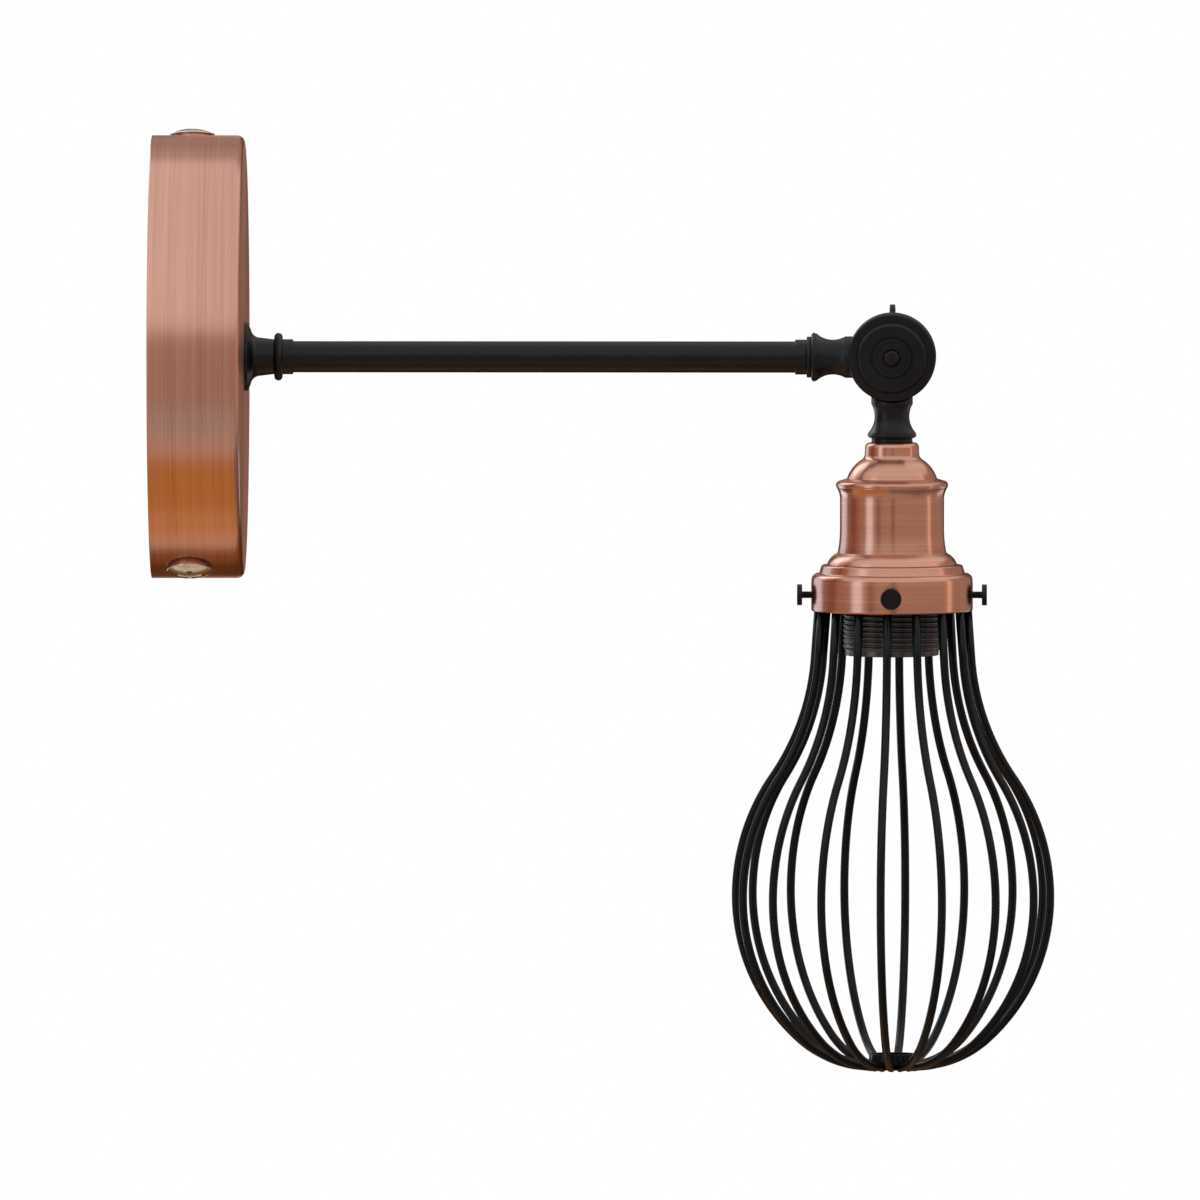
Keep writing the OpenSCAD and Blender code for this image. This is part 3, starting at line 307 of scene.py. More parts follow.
# Tilts are degrees round the rose from its top. The slot is measured from its middle, and the
# lip is the low step between the spacer and the head
sideScrew = {"x": 14.6, "tilts": (-12.0, 159.5), "headRadius": 8.35, "height": 2.2, "edge": 0.3,
             "lip": 0.25, "lipSide": 0.13, "slotWidth": 0.75, "slotLength": 4.3, "slotDepth": 1.2,
             "slotEdge": 0.25, "shank": 2.0, "tip": 75.65, "around": 240,
             "spacer": 1.0, "spacerRadius": 6.8, "spacerBore": 2.4, "spacerAround": 120}
screwMiddle = sideScrew["x"] * rightwards


def screwWay(tilt):
    # Outwards through the rose's band at this tilt, then along the rose's axis and round its band
    turn = math.radians(tilt)
    return (math.cos(turn) * upwards - math.sin(turn) * rearwards, rightwards,
            math.sin(turn) * upwards + math.cos(turn) * rearwards)


def crossHead(tilt):
    # A ball's cap over the polar grid, h = edge + sqrt(ball^2 - r^2) - (ball - its height), with
    # a quarter ellipse round its rim. It is sunk by slotDepth where either arm of a cross,
    # |x| < width and |y| < length, passes a soft edge
    s = sideScrew
    seat = rose["radius"] + s["spacer"]
    capRadius, capHeight = s["headRadius"] - s["edge"], s["height"] - s["edge"]
    ball = (capRadius ** 2 + capHeight ** 2) / (2 * capHeight)
    flat = capRadius * np.linspace(0, 1, 84, endpoint=False)
    rim = capRadius + s["edge"] * np.sin(np.linspace(0, math.pi / 2, 8))
    r = np.concatenate([flat, rim])[:, None]
    x, y = r * np.cos(anglesRound(s["around"])), r * np.sin(anglesRound(s["around"]))
    onRim = np.clip((r - capRadius) / s["edge"], 0, 1)
    rise = s["edge"] * np.sqrt(1 - onRim ** 2) \
        + np.maximum(np.sqrt(ball ** 2 - r ** 2) - (ball - capHeight), 0)

    def within(value, limit):
        return np.clip((limit - np.abs(value)) / s["slotEdge"] + 0.5, 0, 1)

    arms = np.maximum(within(x, s["slotWidth"]) * within(y, s["slotLength"]),
                      within(y, s["slotWidth"]) * within(x, s["slotLength"]))
    height = np.minimum(rise, rise * (1 - arms) + arms * (s["height"] - s["slotDepth"]))
    under = np.array([[s["headRadius"], s["lipSide"]], [s["headRadius"] - s["lip"], 0],
                      [s["shank"], 0], [s["shank"], s["tip"] - seat], [0, s["tip"] - seat]])
    height = np.vstack([height + s["lip"], np.repeat(under[:, 1:], s["around"], axis=1)])
    return turnedGrid(np.vstack([r, under[:, :1]]), seat + height, screwWay(tilt), screwMiddle,
                      s["around"])


def saddleSpacer(tilt):
    # A ring whose underside follows the rose: along the band its foot lies at the height
    # sqrt(rose radius^2 - y^2), y being the distance from its middle round the band
    s = sideScrew
    ring = roundCorners([(s["spacerRadius"], 0, 0.05), (s["spacerRadius"], 1, 0.25),
                         (s["spacerBore"], 1, 0.1), (s["spacerBore"], 0, 0.05)])
    r, level = ring[:, :1], ring[:, 1:]
    foot = np.sqrt(rose["radius"] ** 2 - (r * np.sin(anglesRound(s["spacerAround"]))) ** 2)
    height = foot + level * (rose["radius"] + s["spacer"] + 0.02 - foot)
    return turnedGrid(r, height, screwWay(tilt), screwMiddle, s["spacerAround"])


makePiece("sideScrews", [(crossHead(tilt), False) for tilt in sideScrew["tilts"]],
          chromePlate, "wall_arm", "side_screws")
# The spacers take the lightened copper, painted light against their shade
makePiece("sideSpacers", [(saddleSpacer(tilt), True) for tilt in sideScrew["tilts"]],
          spacerCopperPaintedLight, "wall_arm", "side_spacers")
print("rose made")

# Places from the wall, but the ferrule's and the lock ring's are from the hinge. The sweep is
# the hollow curve from the flange to its neck: its middle's radius and place, and its radius
arm = {"bore": 4.95, "tube": 5.8, "tubeFit": 5.85, "tubeFrom": 41.3, "tubeEnd": 242.5,
       "flange": 12.65, "flangeFrom": 34.3, "flangeEdge": 35.5, "sweep": (10.6, 40.1, 3.5),
       "neck": 6.45, "sleeve": 6.5, "sleeveEnd": 52.3, "beadBore": 6.55, "bead": 8.85,
       "beadFrom": 45.3, "beadEnd": 48.4, "beadRound": 1.5, "ferrule": 6.475,
       "ferruleEnd": 35.9, "lockRing": 7.6, "lockFrom": 29.9, "lockEnd": 31.6}
a = arm
sweepMiddle, sweepAt, sweep = a["sweep"]
turnedPiece("armFlange", [(a["flange"], a["flangeFrom"], 0.15), (a["flange"], a["flangeEdge"], 0.35)]
            + [(sweepMiddle - sweep * math.sin(t), sweepAt - sweep * math.cos(t), 0.02)
               for t in np.radians([8, 20, 32, 44, 56, 68, 80, 90])]
            + [(a["neck"], a["beadFrom"], 0.15), (a["sleeve"], a["beadFrom"] + 0.1, 0.02),
               (a["sleeve"], a["sleeveEnd"], 0.3), (a["tubeFit"], a["sleeveEnd"], 0.05),
               (a["tubeFit"], a["tubeFrom"], 0.02), (a["bore"], a["tubeFrom"], 0.02),
               (a["bore"], a["flangeFrom"], 0.05)],
            outward, satinBlack, "wall_arm", "arm_flange", wallMiddle)
turnedPiece("armBead", [
    (a["beadBore"], a["beadFrom"], 0.1), (a["bead"], a["beadFrom"], a["beadRound"]),
    (a["bead"], a["beadEnd"], a["beadRound"]), (a["beadBore"], a["beadEnd"], 0.1)],
    outward, satinBlack, "wall_arm", "arm_bead", wallMiddle)
turnedPiece("armTube", [
    (a["tube"], a["tubeFrom"], 0.1), (a["tube"], a["tubeEnd"], 0.1),
    (a["bore"], a["tubeEnd"], 0.1), (a["bore"], a["tubeFrom"], 0.1)],
    outward, satinBlack, "wall_arm", "arm_tube", wallMiddle)
turnedPiece("armFerrule", [
    (a["tubeFit"], a["lockEnd"], 0.05), (a["ferrule"], a["lockEnd"], 0.2),
    (a["ferrule"], a["ferruleEnd"], 0.3), (a["tubeFit"], a["ferruleEnd"], 0.05)],
    backward, satinBlack, "wall_arm", "arm_ferrule")
lockCorners = [(a["bore"], a["lockFrom"], 0.05), (a["lockRing"], a["lockFrom"], 0.4),
               (a["lockRing"], a["lockEnd"], 0.4), (a["bore"], a["lockEnd"], 0.05)]
turnedPiece("armLockRing", lockCorners, backward, satinBlack, "wall_arm",
            "arm_lock_ring")
turnedPiece("headLockRing", lockCorners, downward, satinBlack, "head",
            "head_lock_ring")
print("arm made")

# The castings keep their packed form; these are the width and steps of their broken edges, the
# sharpest turn that is left unbroken, and what is merged and flattened before it
casting = {"edge": 0.25, "steps": 3, "sharp": 28.0, "merge": 0.002, "flat": 0.4}


def refinedCopy(name, node, material, body):
    # The node's own triangles, merged, with its sharp edges broken by a small bevel
    mesh = nodes[node].data.copy()
    build = bmesh.new()
    build.from_mesh(mesh)
    bmesh.ops.remove_doubles(build, verts=build.verts, dist=casting["merge"] * mm)
    bmesh.ops.dissolve_limit(build, angle_limit=math.radians(casting["flat"]), verts=build.verts,
                             edges=build.edges)
    build.to_mesh(mesh)
    build.free()
    piece = addPiece(name, mesh, material, body, node)
    bevel = piece.modifiers.new("brokenEdges", "BEVEL")
    bevel.width, bevel.segments = casting["edge"] * mm, casting["steps"]
    bevel.limit_method, bevel.angle_limit = "ANGLE", math.radians(casting["sharp"])
    piece.modifiers.new("evenShading", "WEIGHTED_NORMAL").keep_sharp = True


refinedCopy("knuckleArmHalf", "knuckle_arm_half", satinBlack, "wall_arm")
refinedCopy("knuckleHeadHalf", "knuckle_head_half", satinBlack, "head")

# Places in front of the hinge. The groove is wide and flat at its foot, the line is a fine V
frontCap = {"radius": 13.05, "back": 8.0, "face": 9.8, "edge": 1.35, "bore": 3.35, "groove": 7.55,
            "grooveTop": 0.45, "grooveFoot": 0.15, "grooveAt": 9.45, "line": 5.55,
            "lineHalf": 0.25, "lineAt": 9.6}
c = frontCap
turnedPiece("knuckleCap", [
    (c["bore"], c["back"], 0.05), (c["radius"], c["back"], 0.05),
    (c["radius"], c["face"], c["edge"]), (c["groove"] + c["grooveTop"], c["face"], 0.12),
    (c["groove"] + c["grooveFoot"], c["grooveAt"], 0.06),
    (c["groove"] - c["grooveFoot"], c["grooveAt"], 0.06),
    (c["groove"] - c["grooveTop"], c["face"], 0.12), (c["line"] + c["lineHalf"], c["face"], 0.06),
    (c["line"], c["lineAt"], 0.06), (c["line"] - c["lineHalf"], c["face"], 0.06),
    (c["bore"], c["face"], 0.15)],
    forward, satinBlack, "wall_arm", "knuckle_cap", hinge, 192)

bolt = {"head": 2.95, "top": 10.9, "dome": 1.0, "collar": 5.0, "collarTop": 8.0, "collarEnd": 6.8,
        "shank": 2.5, "end": -17.4, "around": 96}
b = bolt
boltProfile = roundOpen([
    (0, b["top"], 0), (b["head"], b["top"], b["dome"]), (b["head"], b["collarTop"], 0.05),
    (b["collar"], b["collarTop"], 0.1), (b["collar"], b["collarEnd"], 0.1),
    (b["shank"], b["collarEnd"], 0.1), (b["shank"], b["end"], 0.3), (0, b["end"], 0)])
boltGrid = turnedGrid(boltProfile[:, :1], boltProfile[:, 1:], forward, hinge, b["around"])
makePiece("knuckleBolt", [(boltGrid, False)], blackenedSteel, "wall_arm",
          "knuckle_bolt")

# The hub, then each ear: where it leaves the hub, where it begins to climb, its middle's height
# there and its climb, half its height there and what the tip adds, its thickness and round end
wing = {"bore": 2.55, "hub": 6.0, "base": 9.05, "rise": 7.0, "collar": 1.6, "taper": 1.4,
        "from": 2.5, "tip": 18.9, "climbFrom": 5.0, "middle": 3.2, "climb": 3.6,
        "half": 2.5, "halfMore": 0.9, "thick": 2.2, "end": 3.4, "around": 96}


def wingGrid(side):
    # A flattened loft: along u from the hub to the tip the middle line climbs, and each
    # section is height(u) * cos v to the power 0.6 by thickness(u) * sin v to the power 0.35,
    # a flat tab with rounded edges that closes at the tip
    w = wing
    u = np.linspace(0, 1, 40)[:, None]
    v = anglesRound(32)
    out = w["from"] + (w["tip"] - w["from"]) * np.sin(u * math.pi / 2)
    climb = np.clip((out - w["climbFrom"]) / (w["tip"] - w["climbFrom"]), 0, 1)
    middle = w["base"] + w["middle"] + w["climb"] * climb ** 1.4
    nearTip = np.clip((out - (w["tip"] - w["end"])) / w["end"], 0, 1)
    roundEnd = np.sqrt(np.clip(1 - nearTip ** 2, 0, 1))
    height = (w["half"] + w["halfMore"] * climb) * roundEnd
    thickness = w["thick"] / 2 * (1.25 - 0.25 * climb) * roundEnd ** 0.12
    z = side * out * np.ones_like(v)
    y = middle + height * np.sign(np.cos(v)) * np.abs(np.cos(v)) ** 0.6
    x = thickness * np.sign(np.sin(v)) * np.abs(np.sin(v)) ** 0.35 * side
    return hinge + np.stack([x, y, z], -1)


w = wing
hubTop = w["base"] + w["rise"]
hub = roundCorners([(w["bore"], w["base"], 0.2), (w["hub"], w["base"], 0.3),
                    (w["hub"], w["base"] + w["collar"], 0.3), (w["hub"] - w["taper"], hubTop, 0.6),
                    (w["bore"], hubTop, 0.3)])
hubGrid = turnedGrid(hub[:, :1], hub[:, 1:], rearward, hinge, w["around"])
makePiece("wingNut", [(hubGrid, True), (wingGrid(1), False), (wingGrid(-1), False)],
          satinBlack, "wing_nut", "wing_nut")
print("knuckle made")

# All places on the head are below the hinge. The dome's middle lies off the axis
holderCap = {"bore": 4.95, "neck": 10.1, "neckRound": 1.7, "top": 31.6, "wall": 0.8, "blend": 2.5,
             "dome": 13.0, "domeMiddle": 4.35, "edge": 16.75, "edgeAt": 45.0}


def capCorners():
    # The dome's arc ends on the edge, and the blend's arc touches both the neck and the dome
    c = holderCap
    inner, innerNeck = c["dome"] - c["wall"], c["neck"] - c["wall"]
    drop = math.sqrt(c["dome"] ** 2 - (c["edge"] - c["domeMiddle"]) ** 2)
    domeAt = c["edgeAt"] + drop
    across = c["neck"] + c["blend"] - c["domeMiddle"]
    along = math.sqrt((c["dome"] + c["blend"]) ** 2 - across ** 2)
    meet = math.degrees(math.atan2(along, across))
    innerMeet = math.degrees(math.acos((innerNeck - c["domeMiddle"]) / inner))
    return [(c["bore"], c["top"], 0.05), (c["neck"] - 0.15, c["top"], c["neckRound"])] \
        + arcCorners(c["neck"] + c["blend"], domeAt - along, c["blend"], 180, 180 - meet, 8) \
        + arcCorners(c["domeMiddle"], domeAt, c["dome"], 2 - meet,
                     -math.degrees(math.asin(drop / c["dome"])), 16) \
        + arcCorners(c["domeMiddle"], domeAt, inner, -math.degrees(math.asin(drop / inner)),
                     -innerMeet, 12) \
        + [(innerNeck, c["top"] + c["wall"], 0.6), (c["bore"], c["top"] + c["wall"], 0.05)]


turnedPiece("holderCap", capCorners(), downward, holderCopper, "head", "holder_cap")

# The rim, waist and shoulder are arcs: their middle's radius and place, and their radius. The
# flare is an arc that starts level with the band; its corners stand this far below flareFrom
holderBody = {"mouth": 12.0, "top": 45.0, "edge": 16.75, "rim": (19.35, 47.3, 1.45),
              "waist": (27.15, 52.6, 7.85), "band": 19.3, "flareFrom": 63.6, "flare": 44.8,
              "flareSteps": (1.5, 3, 4.5, 6, 7.5, 8.8), "foot": 24.15, "footAt": 77.0,
              "shoulder": 6.36, "shoulderAt": 78.55, "bore": 18.5, "boreFrom": 46.3}
b = holderBody
shoulderMiddle = b["foot"] - math.sqrt(b["shoulder"] ** 2 - (b["shoulderAt"] - b["footAt"]) ** 2)
turnedPiece("holderBody", [(b["mouth"], b["top"], 0.05), (b["edge"], b["top"], 0.3)]
            + arcCorners(*b["rim"], -76, 30, 12) + arcCorners(*b["waist"], 213, 180, 7)
            + [(b["band"], b["flareFrom"], 0.5)]
            + [(b["band"] + b["flare"] - math.sqrt(b["flare"] ** 2 - d ** 2), b["flareFrom"] + d,
                0.01) for d in b["flareSteps"]]
            + arcCorners(shoulderMiddle, b["shoulderAt"], b["shoulder"], -62, -16, 10)
            + [(b["foot"], b["footAt"], 0.2), (b["bore"], b["footAt"], 0.05),
               (b["bore"], b["boreFrom"], 0.3), (b["mouth"], b["boreFrom"], 0.05)],
            downward, holderCopper, "head", "holder_body")

gallery = {"bore": 18.35, "top": 77.0, "step": 26.1, "stepFoot": 27.05, "radius": 29.95,
           "bandFrom": 80.0, "bandRound": 2.2, "end": 94.0, "taper": 0.25, "wall": 0.7,
           "inside": 80.8, "innerStep": 26.4, "innerTop": 25.4}
g = gallery
galleryInside = g["radius"] - g["wall"]
turnedPiece("shadeGallery", [
    (g["bore"], g["top"], 0.05), (g["step"], g["top"], 0.6), (g["stepFoot"], g["bandFrom"] + 0.1, 0.25),
    (g["radius"] - g["taper"], g["bandFrom"], g["bandRound"]), (g["radius"], g["bandFrom"] + 4, 0.6),
    (g["radius"], g["end"] - 0.5, 0.2), (g["radius"] - g["taper"], g["end"], 0.2),
    (galleryInside, g["end"], 0.15), (galleryInside, g["inside"], 1.6),
    (g["innerStep"], g["inside"], 0.2), (g["innerTop"], g["top"] + g["wall"], 0.3),
    (g["bore"], g["top"] + g["wall"], 0.05)],
    downward, holderCopper, "head", "gallery", hinge, 224)

# Places outwards from the head's axis; each screw's body, node and direction in degrees
thumb = {"below": 88.1, "tip": 0.9, "tipAt": 29.15, "shank": 1.25, "shankFrom": 29.2,
         "shankEnd": 33.1, "headFrom": 33.3, "headEnd": 35.15, "head": 3.9, "pitch": 0.45,
         "ridge": 0.07, "threadEnd": 33.0, "fade": 0.5, "around": 48}
thumbScrews = {"thumbScrewRight": ("right_thumb_screw", "thumb_screw_right", 0),
               "thumbScrewRear": ("rear_thumb_screw", "thumb_screw_rear", 90),
               "thumbScrewLeft": ("left_thumb_screw", "thumb_screw_left", 180),
               "thumbScrewFront": ("front_thumb_screw", "thumb_screw_front", -90)}


def thumbGrid(degrees):
    # Turned on its own axis; the shank's thread is r = shank + ridge * sin of the turns along s
    t, turn = thumb, math.radians(degrees)
    way = (math.cos(turn) * rightwards + math.sin(turn) * rearwards,
           math.cos(turn) * rearwards - math.sin(turn) * rightwards, upwards)
    shank = np.stack([np.full(110, t["shank"]),
                      np.linspace(t["shankFrom"], t["shankEnd"], 110)], 1)
    head = roundOpen([(t["shank"], t["headFrom"] - 0.1, 0), (t["shank"], t["headFrom"], 0.05),
                      (t["head"], t["headFrom"], 0.2), (t["head"], t["headEnd"], 0.22),
                      (0, t["headEnd"], 0)])
    profile = np.vstack([[[0, t["tipAt"]], [t["tip"], t["tipAt"]]], shank, head])
    r, s = profile[:, :1], profile[:, 1:]
    fade = (s > t["shankFrom"]) * np.clip((t["threadEnd"] - s) / t["fade"], 0, 1)
    wave = np.sin(2 * math.pi * s / t["pitch"] - anglesRound(t["around"]))
    return turnedGrid(r + fade * t["ridge"] * wave, s, way, hinge - t["below"] * upwards, t["around"])


for name, (body, node, degrees) in thumbScrews.items():
    makePiece(name, [(thumbGrid(degrees), False)], satinBlack, body, node)
print("holder made")

skirt = {"root": 17.35, "crest": 18.05, "pitch": 1.93, "threadFrom": 64.4, "threadEnd": 109.0,
         "fadeIn": 1.5, "fadeOut": 1.6, "top": 58.0, "end": 110.5, "mouth": 15.35, "inner": 13.85,
         "innerFrom": 62.0, "innerEnd": 90.0, "around": 160}


def skirtGrid():
    # r = root + depth * ridge(s / pitch - angle / turn): a real thread, whose ridge is a raised
    # cosine to the power 0.6, so its crest is broad; it fades out before the plain rim
    k = skirt
    head = [[0, k["top"]], [k["root"] - 0.15, k["top"]], [k["root"], k["top"] + 0.2],
            [k["root"], k["threadFrom"] - 0.4]]
    outer = np.stack([np.full(330, k["root"]), np.linspace(k["threadFrom"] - 0.2,
                                                           k["threadEnd"] + 0.6, 330)], 1)
    rim = roundOpen([(k["root"], k["end"] - 0.7, 0), (k["root"], k["end"], 0.45),
                     (k["mouth"], k["end"], 0.3), (k["mouth"], k["end"] - 1.5, 0)])
    inside = [[k["mouth"], k["innerEnd"] + 4], [k["mouth"], k["innerEnd"] + 1],
              [k["inner"], k["innerEnd"]], [k["inner"], k["innerFrom"]], [0, k["innerFrom"]]]
    profile = np.vstack([head, outer, rim, inside])
    r, s = profile[:, :1], profile[:, 1:]
    fade = (r > k["mouth"]) * np.clip((s - k["threadFrom"]) / k["fadeIn"], 0, 1) \
        * np.clip((k["threadEnd"] - s) / k["fadeOut"], 0, 1)
    ridge = (0.5 + 0.5 * np.cos(2 * math.pi * s / k["pitch"] - anglesRound(k["around"]))) ** 0.6
    return turnedGrid(r + fade * (k["crest"] - k["root"]) * ridge, s,
                      (-upwards, rightwards, rearwards), hinge, k["around"])


makePiece("lampholderSkirt", [(skirtGrid(), False)], blackPhenolic, "head",
          "lampholder_skirt")
print("lampholder made")

# Radii of the curves from the collar down to the foot ring, and the slopes between them; turn
# is how far a wire stands off the front, and a weld is (how much it swells, over how far)
cage = {"count": 16, "turn": 3.85, "wire": 1.54, "belly": 58.4, "bellyAt": 199.7, "footAt": 262.5,
        "upper": 78.0, "lower": 71.0, "foot": 39.0, "slope": 34.6, "neckSlope": 4.5,
        "topRadius": 27.55, "topAt": 92.0, "topWeld": (0.1, 1.2), "footWeld": (0.22, 1.1),
        "hang": (0.4, 0, -0.35), "collar": 29.05, "collarWall": 0.8, "collarTop": 83.5,
        "collarEnd": 92.2, "collarLip": 25.85, "ring": 8.9, "ringBore": 7.9, "ringTop": 257.9,
        "ringEnd": 263.8}


def cageLine():
    # One wire's middle line as (radius, distance below the hinge): a cone, a hollow curve,
    # the belly's two curves and the curve that turns level at the foot ring
    c = cage
    slope, neck = math.radians(c["slope"]), math.radians(c["neckSlope"])
    upperC = (c["belly"] - c["upper"], c["bellyAt"])
    meet = (upperC[0] + c["upper"] * math.cos(slope), upperC[1] - c["upper"] * math.sin(slope))
    run = meet[1] - c["topAt"]
    bend = (meet[0] - c["topRadius"] - run * math.tan(neck)) \
        / ((math.cos(neck) - math.cos(slope)) - (math.sin(slope) - math.sin(neck)) * math.tan(neck))
    bendC = (meet[0] + bend * math.cos(slope), meet[1] - bend * math.sin(slope))
    lowerC = (c["belly"] - c["lower"], c["bellyAt"])
    gap, drop = c["lower"] - c["foot"], c["footAt"] - c["foot"] - c["bellyAt"]
    footC = (lowerC[0] + math.sqrt(gap ** 2 - drop ** 2), c["footAt"] - c["foot"])
    turnFrom = math.asin(drop / gap)

    def arc(centre, radius, start, end, count):
        t = np.linspace(start, end, count)
        return np.stack([centre[0] + radius * np.cos(t), centre[1] + radius * np.sin(t)], 1)

    return np.vstack([
        [[c["topRadius"], c["topAt"]]], arc(bendC, -bend, -neck, -slope, 30),
        arc(upperC, c["upper"], -slope, 0, 34)[1:], arc(lowerC, c["lower"], 0, turnFrom, 26)[1:],
        arc(footC, c["foot"], turnFrom, math.pi / 2, 26)[1:]])


def cageGrids(around=20):
    # Each wire lies in one upright plane, so its tube is the middle line plus the radius times
    # cos(v) * the line's normal + sin(v) * the level direction; it swells where it is welded.
    # The cage hangs a little off the middle in its collar, as in the photograph
    line = cageLine()
    along = np.gradient(line, axis=0)
    along /= np.linalg.norm(along, axis=1, keepdims=True)
    normal = np.stack([along[:, 1], -along[:, 0]], 1)
    length = np.concatenate([[0], np.cumsum(np.linalg.norm(np.diff(line, axis=0), axis=1))])
    (topSwell, topReach), (footSwell, footReach) = cage["topWeld"], cage["footWeld"]
    weld = footSwell * np.exp(-((length[-1] - length) / footReach) ** 2) \
        + topSwell * np.exp(-(length / topReach) ** 2)
    radius = (cage["wire"] * (1 + weld))[:, None]
    line = np.vstack([line[:1], line, line[-1:]])
    normal = np.vstack([normal[:1], normal, normal[-1:]])
    radius = np.vstack([[[0]], radius, [[0]]])
    v = anglesRound(around)
    r = line[:, :1] + radius * np.cos(v) * normal[:, :1]
    s = line[:, 1:] + radius * np.cos(v) * normal[:, 1:]
    level = radius * np.sin(v)
    turn = np.radians(-90 - cage["turn"] + np.arange(cage["count"]) * 360 / cage["count"])
    turn = turn[:, None, None]
    x = r * np.cos(turn) - level * np.sin(turn)
    y = r * np.sin(turn) + level * np.cos(turn)
    return hinge + cage["hang"] + np.stack([x, y, -s * np.ones_like(x)], -1)


makePiece("cageWires", [(wire, False) for wire in cageGrids()], cageBlack, "cage",
          "cage_wires")
c = cage
turnedPiece("cageCollar", [
    (c["collar"], c["collarTop"], 0.15), (c["collar"], c["collarEnd"], 0.3),
    (c["collarLip"], c["collarEnd"], 0.2), (c["collarLip"], c["collarEnd"] - 1, 0.2),
    (c["collar"] - c["collarWall"], c["collarEnd"] - 1, 0.2),
    (c["collar"] - c["collarWall"], c["collarTop"], 0.15)],
    downward, cageBlack, "cage", "cage_collar")
turnedPiece("cageFootRing", [
    (c["ring"], c["ringTop"], 0.25), (c["ring"], c["ringEnd"], 0.25),
    (c["ringBore"], c["ringEnd"], 0.25), (c["ringBore"], c["ringTop"], 0.25)],
    downward, cageBlack, "cage", "cage_foot_ring", hinge + cage["hang"], 96)
print("cage made")

# The photograph is 1200 pixels wide, and the rose's middle on the wall falls on originPixel
studio = {"pixels": 1200, "pixelsPerMm": 2.7, "originPixel": (152.0, 356.6), "azimuth": 0.96,
          "elevation": 2.8, "lens": 1500.0, "sensor": 36.0, "white": "#FFFFFF",
          "fill": "#E8EEF5", "fillStrength": 0.55, "floor": "#DAD5CE", "floorX": 0.16,
          "floorZ": -0.5, "floorHalf": 1.2, "lowerLeft": -0.6, "clip": (0.1, 60)}
# Each lamp's place, the point it faces, its width and height, its watts and its colour
lamps = {"softboxAbove": ((0.1, -1.15, 1.1), (0.12, 0, -0.02), (1.8, 1.7), 11, "#F8FAFF"),
         "stripLeft": ((-1.25, -0.9, -0.05), (0.2, 0, -0.1), (0.25, 1.4), 3.0, "#F4F8FF"),
         "rimLeft": ((-1.1, 1.0, 0.2), (0.2, 0, -0.1), (0.6, 1.4), 5, "#EAF2FF")}
# Upright cards: the directions of both ends in degrees (0 towards the camera, 90 to its right),
# lower and upper edge, distance from the head, colour and strength
flags = {"frontReflector": (-42, 87, -1.3, 0.3, 1.2, "#C6B0A3", 1),
         "cameraSlot": (0.2, 5.2, -1.2, 0.295, 1.14, "#6F5440", 1),
         "leftSlot": (-34, -25, -1.2, 0.295, 1.14, "#957A68", 1),
         "rightStrip": (88, 92.5, -1.3, 0.9, 1.2, "#FFDCC0", 1.7),
         "rightFlag": (95, 128, -1.3, 0.6, 1.2, "#BFA99C", 1),
         "rightRearFlag": (128, 152, -0.35, 0.6, 1.2, "#B09A8C", 1),
         "rightRearStrip": (122, 150, -1.3, -0.35, 1.15, "#DAECFF", 1.8),
         "rearLowFlag": (152, 213, -1.3, -0.2, 1.4, "#3C2418", 1),
         "rearFlag": (152, 213, -0.2, 0.45, 1.4, "#6C4A3C", 1),
         "roseEdgeCard": (186, 192.5, -1.0, 0.4, 1.38, "#E8B299", 1),
         "rearUpperFlag": (152, 213, 0.45, 1.15, 1.4, "#B29A8F", 1),
         "rearTopFlag": (152, 213, 1.15, 1.9, 1.4, "#C9B6AC", 1),
         "leftRearStrip": (214, 239, -0.32, 0.35, 1.2, "#DAECFF", 1.45),
         "leftUpperStrip": (214, 239, 0.35, 1.2, 1.2, "#E6F2FF", 3.0),
         "leftLowerStrip": (212, 240, -1.3, -0.32, 1.2, "#DAECFF", 3.2),
         "leftRearFlag": (242, 257, -1.3, 0.32, 1.2, "#A08C86", 1),
         "leftDarkFlag": (257, 273, -1.3, 0.28, 1.2, "#A0745C", 1),
         "leftFlag": (273, 301, -1.3, 0.4, 1.2, "#BFA193", 1),
         "leftStrip": (302.5, 317, -1.3, 0.9, 1.2, "#DAECFF", 1.8)}
# Level cards under the light, from lowerLeft: front, back and right edge, height, and colour
lowerFlags = {"palerReflector": (-0.62, -0.41, 0.9, -0.47, "#D6C6BE"),
              "warmReflector": (-0.41, -0.1, 0.26, -0.47, "#D19D58"),
              "tanReflector": (-0.1, 0.05, 0.26, -0.47, "#DEB078"),
              "paleReflector": (0.05, 0.165, 0.26, -0.47, "#E6C6A8"),
              "greyReflector": (-0.41, 0.2, 0.9, -0.475, "#8E8078"),
              "rearFloorFlag": (0.2, 0.38, 0.9, -0.48, "#935C26"),
              "darkFloorFlag": (0.38, 1.38, 0.9, -0.48, "#5F3D20")}


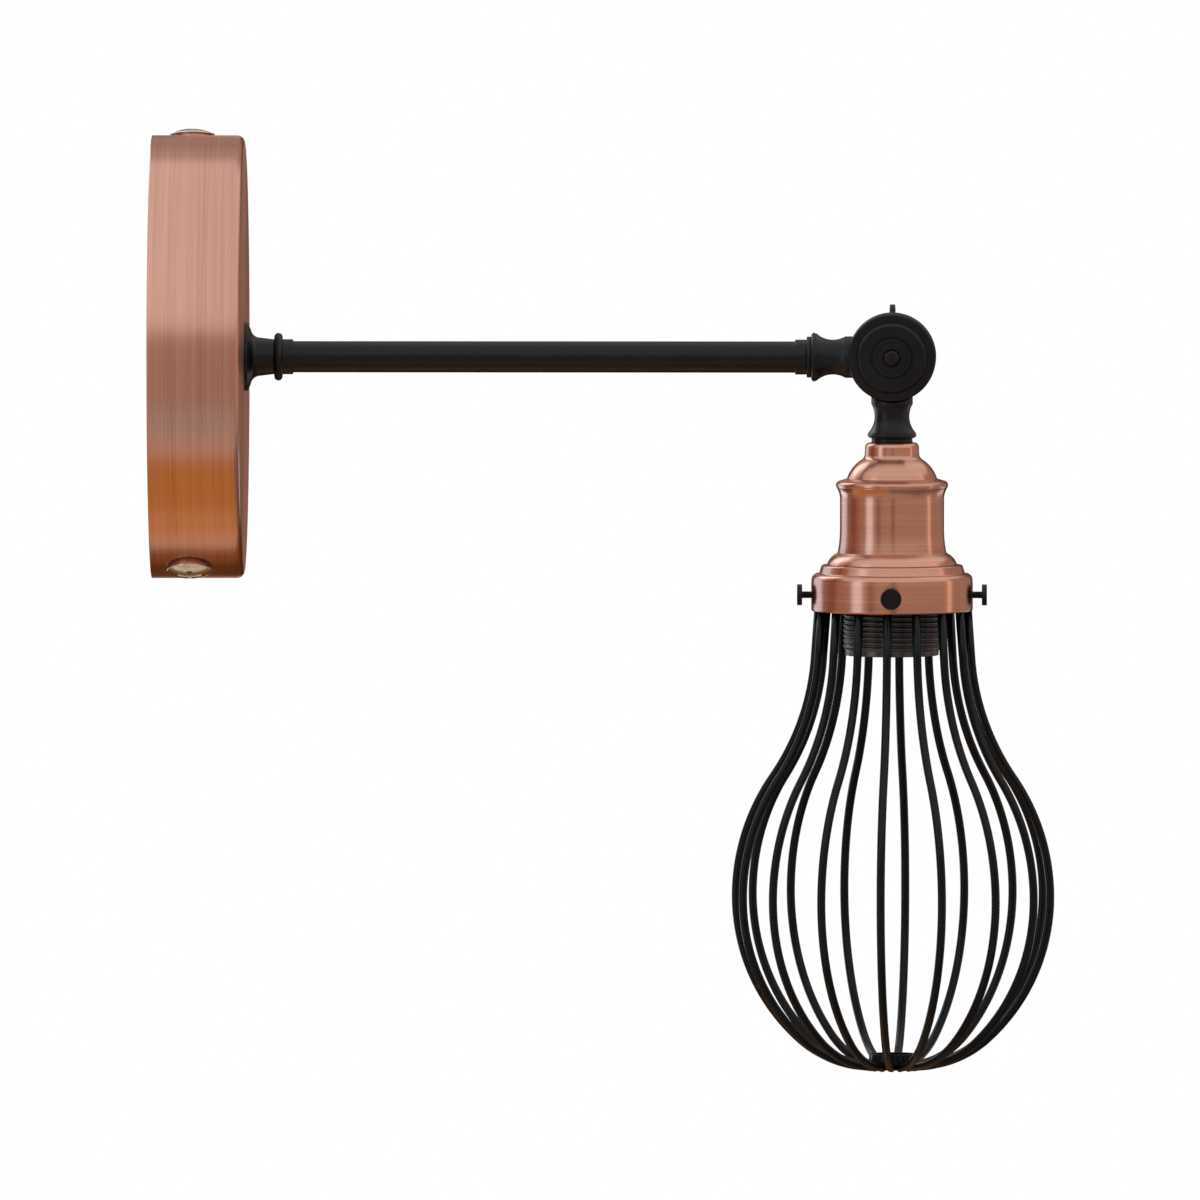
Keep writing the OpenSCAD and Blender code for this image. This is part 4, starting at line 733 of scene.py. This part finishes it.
def placeCamera():
    # The picture's middle is the point of the wall's plane that lies under its middle pixel
    s = studio
    azimuth, elevation = math.radians(s["azimuth"]), math.radians(s["elevation"])
    back = np.array([math.sin(azimuth) * math.cos(elevation),
                     -math.cos(azimuth) * math.cos(elevation), math.sin(elevation)])
    right = np.array([math.cos(azimuth), math.sin(azimuth), 0])
    up = np.cross(back, right)
    across, down = s["pixels"] / 2 - np.array(s["originPixel"])
    middle = (right * across - up * down) / s["pixelsPerMm"] * mm
    width = s["pixels"] / s["pixelsPerMm"] * mm
    camera = bpy.data.cameras.new("camera")
    camera.lens, camera.sensor_width = s["lens"], s["sensor"]
    camera.clip_start, camera.clip_end = s["clip"]
    cameraObject = bpy.data.objects.new("camera", camera)
    bpy.context.scene.collection.objects.link(cameraObject)
    cameraObject.location = middle + back * width * s["lens"] / s["sensor"]
    cameraObject.rotation_mode = "QUATERNION"
    turned = Matrix(np.stack([right, up, back], 1).tolist())
    cameraObject.rotation_quaternion = turned.to_quaternion()
    bpy.context.scene.camera = cameraObject


def addLight(name, place, aim, size, watts, colour):
    # Seen in no reflection: those come from the white surroundings and the studio's flags
    light = bpy.data.lights.new(name, "AREA")
    light.shape, light.size, light.size_y = "RECTANGLE", *size
    light.energy, light.color = watts, toLinear(colour)[:3]
    lamp = bpy.data.objects.new(name, light)
    bpy.context.scene.collection.objects.link(lamp)
    lamp.location = place
    lamp.rotation_mode = "QUATERNION"
    lamp.rotation_quaternion = (Vector(aim) - Vector(place)).to_track_quat("-Z", "Y")
    lamp.visible_glossy = False


def stageMesh(name, points, faces, sockets):
    mesh = bpy.data.meshes.new(name)
    mesh.from_pydata(points, [], faces)
    mesh.materials.append(startMaterial(name, sockets)[0])
    stage = bpy.data.objects.new(name, mesh)
    bpy.context.scene.collection.objects.link(stage)
    return stage


def studioFlag(name, points, faces, colour, strength=1.0):
    # A card that shows in reflections only, at its own colour
    flag = stageMesh(name, points, faces, {
        "Base Color": (0, 0, 0, 1), "Specular IOR Level": 0, "Emission Strength": strength,
        "Emission Color": toLinear(colour)})
    flag.visible_camera = False
    flag.visible_shadow = False
    flag.visible_diffuse = False


def ringFlag(name, start, end, low, high, distance, colour, strength, steps=13):
    # An upright card bent round the head: place = distance * (sin, -cos) of the direction
    turn = np.radians(np.linspace(start, end, steps))
    x, y = hinge[0] * mm + distance * np.sin(turn), -distance * np.cos(turn)
    points = np.concatenate([np.stack([x, y, np.full(steps, z)], 1) for z in (low, high)])
    faces = latticeFaces(2, steps, False, False)
    studioFlag(name, points.tolist(), faces.tolist(), colour, strength)


def levelFlag(name, front, back, right, height, colour):
    left = studio["lowerLeft"]
    corners = [(left, front, height), (right, front, height), (right, back, height),
               (left, back, height)]
    studioFlag(name, corners, [(0, 1, 2, 3)], colour)


def lightWorld():
    # Camera, glossy and transmitted rays see the white background; the rest is soft fill
    world = bpy.data.worlds.new("paleStudio")
    bpy.context.scene.world = world
    world.use_nodes = True
    tree = world.node_tree
    tree.nodes.clear()
    path = addNode(tree, "ShaderNodeLightPath")
    seen = addNode(tree, "ShaderNodeMath", {"operation": "MAXIMUM"},
                   {0: path.outputs["Is Camera Ray"], 1: path.outputs["Is Glossy Ray"]})
    seen = addNode(tree, "ShaderNodeMath", {"operation": "MAXIMUM"},
                   {0: seen.outputs[0], 1: path.outputs["Is Transmission Ray"]})
    fill = addNode(tree, "ShaderNodeBackground", {"Color": toLinear(studio["fill"]),
                                                  "Strength": studio["fillStrength"]})
    white = addNode(tree, "ShaderNodeBackground", {"Color": toLinear(studio["white"]),
                                                   "Strength": 1})
    mix = addNode(tree, "ShaderNodeMixShader", {}, {0: seen.outputs[0], 1: fill.outputs[0],
                                                    2: white.outputs[0]})
    addNode(tree, "ShaderNodeOutputWorld", {}, {"Surface": mix.outputs[0]})


def layFloor():
    s = studio
    corners = [(s["floorX"] + x * s["floorHalf"], y * s["floorHalf"], s["floorZ"])
               for x, y in ((-1, -1), (1, -1), (1, 1), (-1, 1))]
    stageMesh("floor", corners, [(0, 1, 2, 3)], {"Base Color": toLinear(s["floor"]),
                                                 "Roughness": 1, "Specular IOR Level": 0})


placeCamera()
lightWorld()
for name, lamp in lamps.items():
    addLight(name, *lamp)
layFloor()
for name, card in flags.items():
    ringFlag(name, *card)
for name, card in lowerFlags.items():
    levelFlag(name, *card)
bpy.context.scene.view_settings.view_transform = "Standard"
print("studio lit")
